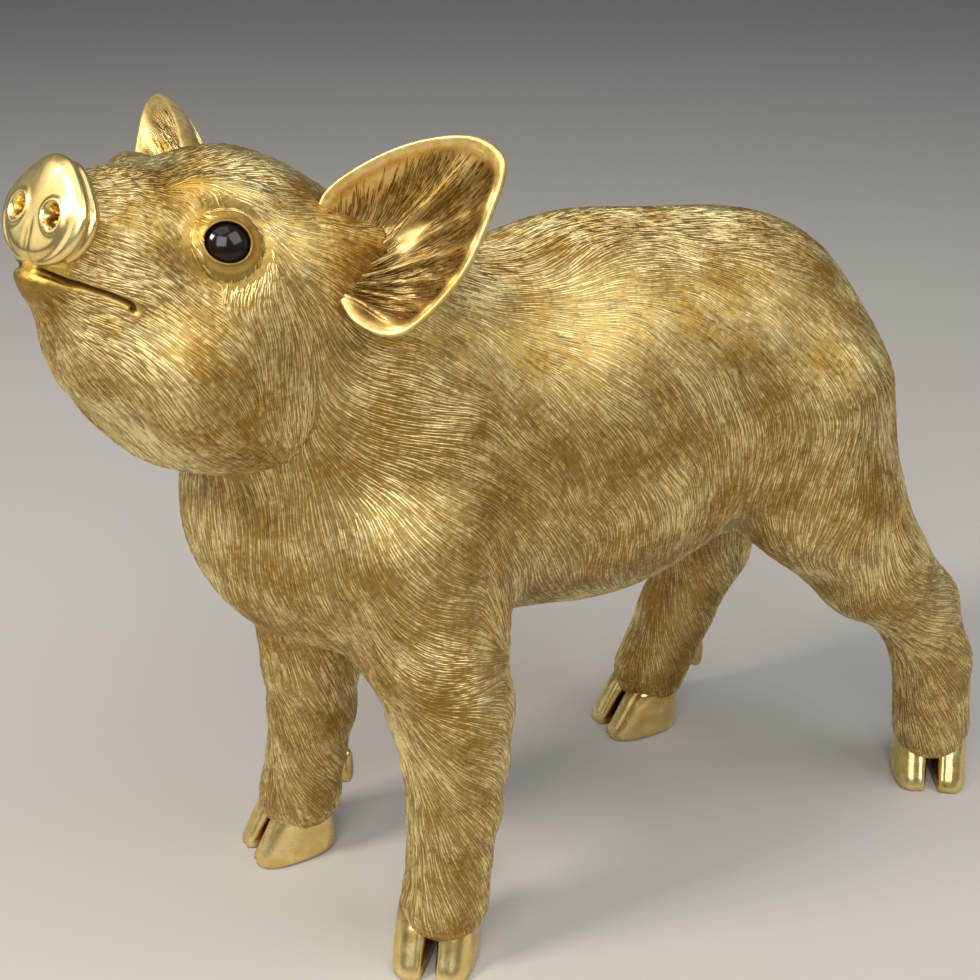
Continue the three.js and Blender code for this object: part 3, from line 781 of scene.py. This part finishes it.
def hair_tree(material):
    tree = bpy.data.node_groups.new("engraved_hair", "GeometryNodeTree")
    for name, kind in (("Lines", "Geometry"), ("Half Width", "Float"), ("Sides", "Int")):
        tree.interface.new_socket(name, in_out="INPUT", socket_type="NodeSocket" + kind)
    tree.interface.new_socket("Hair", in_out="OUTPUT", socket_type="NodeSocketGeometry")
    given = add_node(tree, "NodeGroupInput").outputs
    taper = add_node(tree, "GeometryNodeInputNamedAttribute", {"data_type": "FLOAT", "Name": "taper"})
    girth = add_node(tree, "ShaderNodeMath", {"operation": "MULTIPLY"}, _0=taper.outputs[0],
                     _1=given["Half Width"])
    curve = add_node(tree, "GeometryNodeMeshToCurve", Mesh=given["Lines"])
    thick = add_node(tree, "GeometryNodeSetCurveRadius", Curve=curve.outputs[0], Radius=girth.outputs[0])
    section = add_node(tree, "GeometryNodeCurvePrimitiveCircle", {"Radius": 1.0}, Resolution=given["Sides"])
    swept = add_node(tree, "GeometryNodeCurveToMesh", {"Fill Caps": True}, Curve=thick.outputs[0],
                     Profile_Curve=section.outputs[0])
    if "Scale" in swept.inputs:
        tree.links.new(girth.outputs[0], swept.inputs["Scale"])
    real = add_node(tree, "GeometryNodeRealizeInstances", Geometry=swept.outputs[0])
    gilded = add_node(tree, "GeometryNodeSetMaterial", {"Material": material}, Geometry=real.outputs[0])
    add_node(tree, "NodeGroupOutput", Hair=gilded.outputs[0])
    return tree


HAIR = hair_tree(HAIR_GOLD)


def engrave(name, lines, normals, width, painted_shade=0.0):
    steps = lines.shape[1]
    lines = lines + normals[:, None] * (HAIR_LIFT * width)[None, :, None]
    points = lines.reshape(-1, 3)
    start = np.arange(0, len(points), steps)
    edges = [(a + step, a + step + 1) for a in start.tolist() for step in range(steps - 1)]
    mesh = bpy.data.meshes.new(name)
    mesh.from_pydata(((points + SHIFT) * MM).tolist(), edges, [])
    taper = np.outer(hair_chance.uniform(0.8, 1.15, len(lines)), HAIR_TAPER)
    add_attribute(mesh, "taper", taper.ravel())
    # A darker hair here and there at random, plus the painted shade given to a coat in a hollow.
    add_attribute(mesh, "shade", np.repeat(painted_shade + 0.55 * hair_chance.random(len(lines)) ** 2, steps))
    piece = add_object(name, mesh)
    hair = piece.modifiers.new("hair", "NODES")
    hair.node_group = HAIR
    sizes = {"Half Width": width / 2 * MM, "Sides": HAIR_SIDES}
    for item in HAIR.interface.items_tree:
        if item.name in sizes:
            hair[item.identifier] = sizes[item.name]
    piece.update_tag()
    drawn = bpy.data.meshes.new_from_object(piece.evaluated_get(bpy.context.evaluated_depsgraph_get()))
    drawn.name = name
    piece.modifiers.remove(hair)
    piece.data = drawn
    drawn.polygons.foreach_set("use_smooth", [True] * len(drawn.polygons))
    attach(piece, BODY)
    print(name, "has", len(lines), "hairs and", len(drawn.polygons), "faces", flush=True)


# %% [markdown]
# Each region of the body gets a coat of its own: candidates are scattered, laid like tiles, walked
# and engraved. The hairs are a little wider than their gaps, so they overlap. A hair that would
# cross the mouth, reach into an eye or run under the snout is left out.

# %% The coat, region by region
COATS = {HEAD: ("coat_of_the_head", 6.0, 0.46), SHOULDERS: ("coat_of_the_shoulders", 6.6, 0.53),
         HINDQUARTERS: ("coat_of_the_hindquarters", 6.6, 0.53), SHANKS: ("coat_of_the_legs", 6.0, 0.52)}
OVERLAP = 1.45
MOUTH_CLEAR, EYE_CLEAR, SNOUT_BACK = 0.8, 6.6, 55
for region, (name, long, wide) in COATS.items():
    chosen = hide_faces[(skin["region"][hide_faces] == region).sum(1) >= 2]
    roots, root_facts = scatter(chosen, CANDIDATES)
    kept = lay_like_tiles(roots, root_facts, long, wide)
    root_facts = {key: values[kept] for key, values in root_facts.items()}
    lines = walk(lidded if region == HEAD else sculpted, roots[kept], root_facts, long)
    clear = np.ones(len(lines), bool)
    for way_along in np.linspace(0, HAIR_STEPS, 4 * HAIR_STEPS + 1):
        step = min(int(way_along), HAIR_STEPS - 1)
        at = lines[:, step] + (lines[:, step + 1] - lines[:, step]) * (way_along - step)
        in_head = to_head(at)
        clear &= (mouth_reach(at) > MOUTH_CLEAR) & (eye_reach(at) > EYE_CLEAR)
        clear &= (in_head[:, 0] < SNOUT_BACK) | (in_head[:, 2] < -15) & (in_head[:, 0] < 57.2)
    engrave(name, lines[clear], root_facts["normals"][clear], wide * OVERLAP)


# %% [markdown]
# The snout is a turned form: a roll behind, a groove, and a domed disc. It is laid out as rings
# round its axis, and then the nostrils, the small coil in each, the notch of the lip and the
# shield outline are pressed into the rings. The photograph shows it burnished bright.

# %% Snout
def shell(rings):
    count = len(rings[0])
    points = np.concatenate([*rings, rings[0].mean(0)[None], rings[-1].mean(0)[None]])
    first, last = len(points) - 2, len(points) - 1
    end = (len(rings) - 1) * count
    around = [(side, (side + 1) % count) for side in range(count)]
    faces = [(first, b, a) for a, b in around] + [(last, end + a, end + b) for a, b in around]
    for row in range(0, end, count):
        faces += [(row + a, row + b, row + count + b, row + count + a) for a, b in around]
    volume = sum(points[face[0]] @ np.cross(points[b], points[c])
                 for face in faces for b, c in zip(face[1:], face[2:]))
    return points, [face[::-1] for face in faces] if volume < 0 else faces


SNOUT_HIGH, SNOUT_WIDE, SNOUT_DEEP = 26.5, 30.0, 13.0
SNOUT_AT = np.array([55.2, 0, -0.8])
NOSTRIL_OUT, NOSTRIL_TILT = 6.5, 0.35
snout_profile = curve_through([(0.05, -0.6), (0.5, -0.6), (0.8, -0.52), (0.93, -0.28), (0.96, -0.05),
                               (0.905, 0.1), (0.97, 0.24), (1, 0.42), (0.96, 0.58), (0.84, 0.72),
                               (0.66, 0.8), (0.45, 0.84), (0.2, 0.86), (0.02, 0.86)], 74)
rings = []
stains = []
for reach, rise in snout_profile:
    angle = full_turn(132)
    up, side = np.cos(angle), np.sin(angle)
    outline = 1 - 0.05 * bell(angle, np.pi, 0.16) + 0.02 * np.cos(3 * angle)
    y = reach * side * outline * SNOUT_WIDE / 2 * (1 - 0.2 * smooth(0, 1, up))
    z = reach * up * outline * SNOUT_HIGH / 2
    x = np.full(len(angle), rise * SNOUT_DEEP / 2)
    stain = 0.5 * bell(rise, 0.1, 0.09) * (reach > 0.8) * np.ones(len(angle))
    if rise > 0.3:
        for hand in (1, -1):
            across, lift = y - hand * NOSTRIL_OUT, z + 0.8
            wide = across * math.cos(NOSTRIL_TILT) + hand * lift * math.sin(NOSTRIL_TILT)
            tall = lift * math.cos(NOSTRIL_TILT) - hand * across * math.sin(NOSTRIL_TILT)
            pit = np.sqrt((wide / 2.4) ** 2 + (tall / 2.8) ** 2)
            x = x - 4.2 * smooth(1.15, 0.55, pit) + 0.55 * bell(pit, 1.35, 0.3)
            coil = np.sqrt((wide + 0.8 * hand) ** 2 + (tall + 1.1) ** 2)
            x = x + 2.6 * smooth(2.0, 0.5, coil)
            stain = np.maximum(stain, 0.75 * smooth(1.15, 0.75, pit))
        x = x - 0.45 * bell(y, 0, 1.1) * smooth(1, -7, z) + 0.35 * bell(y, 0, 3.4)
        x = x - 0.5 * bell(np.hypot(y / 15, (z + 1) / 13.5), 0.8, 0.07) * smooth(4, -6, z)
    rings.append(from_head(SNOUT_AT + np.stack([x, y, z], -1)))
    stains.append(stain)
add_piece("snout", *shell(rings), BURNISHED, np.concatenate([*stains, [0, 0]]))
print("snout:", len(rings), "rings")


# %% [markdown]
# An ear is a cupped leaf with a thick rolled rim. Its folds fan out from the root, and wash lies
# between them. Rings round the leaf's hub give its front, its rim and its back, so the ear is one
# closed form. Sheets with Solidify would be simpler, but the rim would be a plain square edge.

# %% Shape of an ear
EAR_OUTLINE = [(-3, -10), (-1, 4), (5, 13.5), (20, 15), (35, 12.3), (47, 6), (50.5, -3), (42, -12.5),
               (27, -23), (8, -27.5), (-1.5, -20)]
EAR_HUB = np.array([16.05, -4.25])
EAR_CUP, EAR_THICK = 12.0, 4.2
FOLDS, FOLD_WIDTH = np.radians([19, 6, -7, -21, -37, -56]), 0.07


def closed_curve(points, count):
    points = np.array(points, float)
    steps = np.linspace(0, len(points), count, endpoint=False)
    i = steps.astype(int)
    return spline(*(points[(i + k) % len(points)] for k in (-1, 0, 1, 2)), (steps - i)[:, None])


EAR_EDGE = closed_curve(EAR_OUTLINE, 140) - EAR_HUB
EDGE_ANGLE = np.unwrap(np.arctan2(EAR_EDGE[:, 1], EAR_EDGE[:, 0])) % (2 * np.pi)
EDGE_ORDER = np.argsort(EDGE_ANGLE)
EDGE_REACH = np.hypot(EAR_EDGE[:, 0], EAR_EDGE[:, 1])


def reach_in_ear(leaf):
    angle = np.arctan2(leaf[:, 1] - EAR_HUB[1], leaf[:, 0] - EAR_HUB[0])
    edge = np.interp(angle % (2 * np.pi), EDGE_ANGLE[EDGE_ORDER], EDGE_REACH[EDGE_ORDER],
                     period=2 * np.pi)
    return np.hypot(leaf[:, 1] - EAR_HUB[1], leaf[:, 0] - EAR_HUB[0]) / edge


def ear_folds(leaf, reach):
    angle = np.arctan2(leaf[:, 1] + 7, leaf[:, 0] + 4) + 0.0035 * leaf[:, 0]
    fold = sum(bell(angle, centre, FOLD_WIDTH) for centre in FOLDS)
    band = smooth(10.5, 6, leaf[:, 1]) * smooth(0.05, 0.3, reach) * smooth(0.97, 0.8, reach)
    return fold, band


def ear_place(name, hand, leaf, height):
    ear = EARS[name]
    return from_head(np.array(ear["root"]) + leaf[:, :1] * ear["points"]
                     + leaf[:, 1:] * hand * ear["across"] + np.reshape(height, (-1, 1)) * ear["faces"])


def ear_front(leaf, reach):
    fold, band = ear_folds(leaf, reach)
    return band * (2.3 * fold - 1.1) + 0.9 * bell(reach, 0.9, 0.05) - EAR_CUP * (1 - reach * reach)


def ear_back(leaf, reach):
    return -EAR_THICK * (1.9 - 0.9 * reach) - EAR_CUP * (1 - reach * reach)


print("ear: outline of", len(EAR_EDGE), "points,", len(FOLDS), "folds")


# %% Ears
EAR_RIM = ((0.955, 0.75), (0.98, 0.3), (0.995, -0.5), (1, -1.3), (0.992, -2.2), (0.97, -3.0))


def ear_rings(name, hand):
    rings, stains = [], []
    for reach in np.linspace(0.03, 0.93, 46):
        leaf = EAR_EDGE * reach + EAR_HUB
        fold, band = ear_folds(leaf, reach)
        rings.append(ear_place(name, hand, leaf, ear_front(leaf, reach)))
        # Painted shade deep and low in the hollow, painted light towards its top; wash between the folds.
        painted_shade_in_hollow = smooth(0.95, 0.2, reach) * smooth(6, -6, leaf[:, 1])
        painted_light_at_top = 1 - 0.65 * smooth(-3, 6, leaf[:, 1])
        stains.append(np.clip(band * painted_light_at_top * (0.3 + 0.65 * (1 - fold)) + 0.3 * painted_shade_in_hollow, 0, 0.92))
    for reach, rise in EAR_RIM:
        rings.append(ear_place(name, hand, EAR_EDGE * reach + EAR_HUB, rise - EAR_CUP * (1 - reach * reach)))
        stains.append(np.full(len(EAR_EDGE), 0.04))
    for reach in np.linspace(0.94, 0.05, 22):
        leaf = EAR_EDGE * reach + EAR_HUB
        rings.append(ear_place(name, hand, leaf, ear_back(leaf, reach)))
        stains.append(np.full(len(leaf), 0.3))
    return rings, np.concatenate([*stains, [0.3, 0.3]])


EAR_SHELLS = {name: ear_rings(name, hand) for name, hand in SIDES}
for name, (rings, stains) in EAR_SHELLS.items():
    add_piece(name + "_ear", *shell(rings), EAR_GOLD, stains)
    print(name, "ear:", len(rings), "rings")


# %% [markdown]
# Fine hairs, darkened with painted shade, lie in the hollow of the ear between the folds, and a
# thicker coat covers its back. They start at random places of the leaf and run away from its root.

# %% Hairs of the ears
def ear_hairs(name, hand, surface, count, long, low, high):
    leaf = hair_chance.uniform((-4, -28), (52, 16), (count * 5, 2))
    reach = reach_in_ear(leaf)
    fold, band = ear_folds(leaf, reach)
    grows = (reach > low) & (reach < high)
    if surface is ear_front:
        grows &= hair_chance.random(len(leaf)) < 0.15 + 0.85 * band * np.clip(1.2 - fold, 0, 1)
    way = unit(leaf - np.array([-8, -7]))
    grows &= reach_in_ear(leaf + way * long) < high + 0.04
    leaf, way = leaf[grows][:count], way[grows][:count]
    lines = []
    for step in range(HAIR_STEPS + 1):
        at = leaf + way * (long * step / HAIR_STEPS)
        lines.append(ear_place(name, hand, at, surface(at, np.minimum(reach_in_ear(at), 0.96))))
    facing = (1 if surface is ear_front else -1) * EARS[name]["faces"] @ HEAD_AXES.T
    return np.stack(lines, 1), np.repeat(facing[None], len(leaf), 0)


for name, hand in SIDES:
    inner = ear_hairs(name, hand, ear_front, 1300, 3.8, 0.12, 0.84)
    outer = ear_hairs(name, hand, ear_back, 1600, 4.4, 0.1, 0.86)
    # The hairs in the hollow of the ear get painted shade.
    engrave("coat_inside_the_" + name + "_ear", *inner, 0.4, 0.45)
    engrave("coat_behind_the_" + name + "_ear", *outer, 0.62)


# %% [markdown]
# Each foot is two claws with a cleft between them, plus two dewclaws above the heel. The claws are
# lofted through flat sections: a sole, a wall that swells a little, and a top that leans back.
# They are stiff turned forms, so they come as rings and not as clay.

# %% Hooves and dewclaws
HOOF_LONG, HOOF_WIDE, HOOF_HIGH, CLEFT, TOE_SLOPE = 30.7, 31.0, 18.0, 2.4, 9.0
DEWCLAW_LONG, DEWCLAW_THICK = 7.0, 3.9


def turned(points, degrees):
    c, s = math.cos(math.radians(degrees)), math.sin(math.radians(degrees))
    return points @ np.array([[c, s, 0], [-s, c, 0], [0, 0, 1]])


def claw_rings(foot, side):
    x, y, turn = FEET[foot]
    half_width = (HOOF_WIDE - CLEFT) / 4
    flat_side = 0.75 * half_width
    angle = full_turn(48)
    ahead, over = np.cos(angle), np.sin(angle)
    rings, stains = [], []
    for rise in (0, 0.02, 0.07, 0.14, 0.28, 0.42, 0.56, 0.7, 0.85, 1.0, 1.12):
        swell = np.interp(rise, (0, 0.02, 0.14, 0.9, 1.12), (0.92, 0.95, 1, 0.93, 0.78))
        lean = min(rise, 1.0)
        long = HOOF_LONG - TOE_SLOPE * lean
        forward = long * (0.5 * swell * np.sign(ahead) * np.abs(ahead) ** 0.75 + 0.5)
        beside = half_width * swell * np.sign(over) * np.abs(over) ** 0.85
        flare = CLEFT * 0.6 * np.maximum(0, ahead) * (1 - 0.7 * lean)
        across = np.maximum(beside, flare - flat_side)
        ridge = 0.7 * bell(angle, 5.85, 0.14) - 0.5 * bell(angle, 6.1, 0.1)
        forward = forward + ridge * smooth(1.1, 0.8, rise)
        growth = 0.12 * math.sin(rise * 34) * np.maximum(0.3, over)
        place = np.stack([forward - 0.45 * HOOF_LONG,
                          side * (CLEFT / 2 + flat_side + across + growth),
                          np.full(48, rise * HOOF_HIGH)], -1)
        rings.append(turned(place, turn) + np.array([x, y, 0]))
        # Copper wash and painted shade: darker in the cleft, along the top and at the sole, where shade
        # falls.
        inner = smooth(-0.5, -0.9, over) * smooth(-0.6, 0.1, ahead)
        wash_and_shade_at_ends = 0.6 * smooth(0.8, 1.05, rise) + 0.35 * smooth(0.1, 0.0, rise)
        stains.append(np.clip(0.9 * inner + wash_and_shade_at_ends, 0, 1))
    return rings, np.concatenate([*stains, [0.4, 0.6]])


def dewclaw_rings(foot, side):
    x, y, turn = FEET[foot]
    low, high = (np.array(joint[:3], float) for joint in (LEGS[foot][-1], LEGS[foot][-2]))
    line = low + (high - low) * (HOOF_HIGH * 1.75 - low[2]) / (high[2] - low[2])
    spread = turned(np.array([-12.6, side * 5.6, 0]), turn)
    centre = settle(plain_clay, line + spread, -0.5)[0]
    behind = unit(spread)
    aside = np.cross((0, 0, 1), behind)
    rings = []
    angle = full_turn(20)
    for polar in np.linspace(0.12, np.pi - 0.12, 15):
        drop, girth = -math.cos(polar) * DEWCLAW_LONG, math.sin(polar) ** 0.85 * DEWCLAW_THICK
        hook = 0.9 * (drop / 6) ** 2
        rings.append(centre + np.outer(np.cos(angle) * girth, aside)
                     + np.outer(np.sin(angle) * girth + hook, behind) + np.array([0, 0, drop]))
    return rings


for foot in FEET:
    for side, hand in ((1, "left"), (-1, "right")):
        rings, stains = claw_rings(foot, side)
        add_piece(f"{foot}_{hand}_claw", *shell(rings), HOOF_GOLD, stains)
        dew_points, dew_faces = shell(dewclaw_rings(foot, side))
        dew_wash = np.full(len(dew_points), 0.25)
        add_piece(f"{foot}_{hand}_dewclaw", dew_points, dew_faces, HOOF_GOLD, dew_wash)
print("claws and dewclaws on", list(FEET))


# %% [markdown]
# The lids are thinner than the clay's cubes, so each pair is a fine ring of its own. Its inner edge
# is the oval of the opening, lying on the glass. From there its rings widen to a circle, and each
# point drops along the way the eye looks until it meets the clay with the lids in it.

# %% Eyelids
LID_REACH = 11.8
LID_START = 11.0
LID_ANGLE = full_turn(120)


def drop_on(field, starts, way, reach=9.0, rounds=26):
    at = starts.astype(np.float32)
    for _ in range(rounds):
        at = at - np.clip(field(at), -reach, reach)[:, None] * 0.8 * way.astype(np.float32)
    return at


def opening_edge(angle):
    low, high = np.zeros_like(angle), np.full_like(angle, 12.0)
    for _ in range(22):
        middle = (low + high) / 2
        outside = eye_opening(middle * np.cos(angle), middle * np.sin(angle)) > 0
        low, high = np.where(outside, low, middle), np.where(outside, middle, high)
    return low


def lid_ring(seat, width, raised):
    across = np.outer(width * np.cos(LID_ANGLE), seat["front"])
    across = across + np.outer(width * np.sin(LID_ANGLE), seat["up"])
    return seat["centre"] + across + np.outer(raised, seat["out"])


def lid_rings(seat):
    inner, even = opening_edge(LID_ANGLE), np.ones(len(LID_ANGLE))
    on_glass = np.sqrt(EYE_RADIUS ** 2 - np.minimum(inner, 6.9) ** 2)
    on_lid = np.sqrt((EYE_RADIUS + LID_THICK) ** 2 - np.minimum(inner, 7.9) ** 2)
    rings = [lid_ring(seat, inner + 0.5, on_glass - 0.9), lid_ring(seat, inner, on_glass - 0.1)]
    stains = [0.95 * even, 0.95 * even]
    for share, out, stain in ((0.35, 0.0, 0.95), (0.7, 0.06, 0.85), (0.95, 0.3, 0.7)):
        rings.append(lid_ring(seat, inner + out, on_glass + (on_lid - on_glass) * share - 0.1))
        stains.append(stain * even)
    for share in np.linspace(0.07, 1, 26):
        width = inner + 0.3 + (LID_REACH - inner) * share
        rings.append(drop_on(lidded, lid_ring(seat, width, LID_START * even), seat["out"]))
        stain = 0.1 + 0.34 * smooth(6.9, 7.7, width) + 0.85 * math.exp(-share * 8)
        stains.append(np.minimum(stain, 0.95))
    rings[-1] = rings[-1] - 0.5 * seat["out"]
    rings += [rings[-1] - 1.2 * seat["out"], lid_ring(seat, inner + 1.6, on_glass - 1.4)]
    return rings, np.concatenate([*stains, 0.4 * even, 0.4 * even])


for name, seat in SEATS.items():
    rings, stains = lid_rings(seat)
    count = len(LID_ANGLE)
    ring_points = np.concatenate(rings)
    ring_faces = []
    for row in range(len(rings)):
        here, there = row * count, (row + 1) % len(rings) * count
        ring_faces += [(here + a, here + (a + 1) % count, there + (a + 1) % count, there + a)
                       for a in range(count)]
    corners = ring_points[list(ring_faces[count * 12])]
    lean = np.cross(corners[1] - corners[0], corners[2] - corners[0]) @ seat["out"]
    ring_faces = ring_faces if lean > 0 else [face[::-1] for face in ring_faces]
    add_piece(name + "_eyelids", ring_points, ring_faces, HIDE_GOLD, stains)
    print(name, "eyelids:", len(ring_faces), "faces")


# %% [markdown]
# The eyes are glass beads, nearly black, seated in the casting. A bead is a ball, so its rings are
# circles of latitude round the way the eye looks.

# %% Eyes
for name, seat in SEATS.items():
    rings = []
    angle = full_turn(48)
    for polar in np.linspace(0.06, np.pi - 0.06, 30):
        girth = EYE_RADIUS * math.sin(polar)
        rings.append(seat["centre"] + np.outer(np.cos(angle) * girth, seat["front"])
                     + np.outer(np.sin(angle) * girth, seat["up"])
                     + EYE_RADIUS * math.cos(polar) * seat["out"])
    add_piece(name + "_glass_eye", *shell(rings), EYE_GLASS, None, (name + "_eye",), "eye_glass")
print("eyes:", list(SEATS))


# %% [markdown]
# The piglet stands on a plain pale floor, and the camera looks down on it from the height that the
# photograph's perspective gives.

# %% Floor and camera
FLOOR_HALF, FLOOR_DROP = 3.0, 0.0003
floor_mesh = bpy.data.meshes.new("floor")
floor_mesh.from_pydata([(x * FLOOR_HALF, y * FLOOR_HALF, -FLOOR_DROP)
                        for x, y in ((-1, -1), (1, -1), (1, 1), (-1, 1))], [], [(0, 1, 2, 3)])
floor = add_object("floor", floor_mesh)
# Matt grey paper: it takes soft shadows and sends a little light up to the belly.
paper, _, paper_inputs = new_material("pale_paper")
paper_inputs["Base Color"].default_value = linear("#A19E99")
paper_inputs["Roughness"].default_value = 0.8
floor_mesh.materials.append(paper)

VIEW_DOWN = math.radians(25.6)
CAMERA_AT = Vector((np.array([248.67, 373.46, 348.67]) + SHIFT) * MM)
VIEW = Vector((-0.486 * math.cos(VIEW_DOWN), -0.874 * math.cos(VIEW_DOWN), -math.sin(VIEW_DOWN)))
camera_data = bpy.data.cameras.new("camera")
camera_data.lens = 55.1
camera_data.sensor_width = 36.0
camera = add_object("camera", camera_data)
camera.location = CAMERA_AT
camera.rotation_euler = VIEW.to_track_quat("-Z", "Y").to_euler()
bpy.context.scene.camera = camera
print("camera at", [round(c, 3) for c in CAMERA_AT])

# %% [markdown]
# Gold shows what it reflects, so it needs large soft panels round it. A small key light high on the
# left gives the shadows and the glints, a large panel on the right lights the rump, and a fill from
# the camera's side keeps the near flank from going brown.

# %% Lights
TO_LEFT, TO_VIEWER, UP = Vector((0.874, -0.486, 0)), Vector((0.486, 0.874, 0)), Vector((0, 0, 1))
MIDDLE = Vector((0.02, 0, 0.15))


def add_panel(name, way, distance, size, watts, tint="#FFFFFF"):
    lamp = bpy.data.lights.new(name, "AREA")
    lamp.size = size
    lamp.energy = watts
    lamp.color = linear(tint)[:3]
    panel = add_object(name, lamp)
    panel.location = MIDDLE + way.normalized() * distance
    panel.rotation_euler = (-way).to_track_quat("-Z", "Y").to_euler()


add_panel("key", TO_LEFT * 0.75 + TO_VIEWER * 0.4 + UP * 0.8, 1.3, 0.3, 15, "#FFF6E8")
add_panel("back_right", TO_LEFT * -0.7 + TO_VIEWER * 0.35 + UP * 0.75, 1.5, 1.1, 15)
add_panel("top", UP + TO_LEFT * 0.15 + TO_VIEWER * 0.1, 1.4, 1.0, 4.5)
add_panel("left", TO_LEFT + TO_VIEWER * 0.1 + UP * 0.45, 1.4, 0.9, 2.1)
add_panel("fill", TO_VIEWER * 1.0 + TO_LEFT * 0.15 + UP * 0.8, 1.6, 1.0, 20)
world = bpy.data.worlds.new("studio")
world.use_nodes = True
sky = world.node_tree.nodes["Background"].inputs
sky["Color"].default_value = linear("#C6C8CC")
sky["Strength"].default_value = 0.32
bpy.context.scene.world = world
bpy.context.scene.view_settings.view_transform = "Standard"
print("lights:", [thing.name for thing in bpy.data.lights])
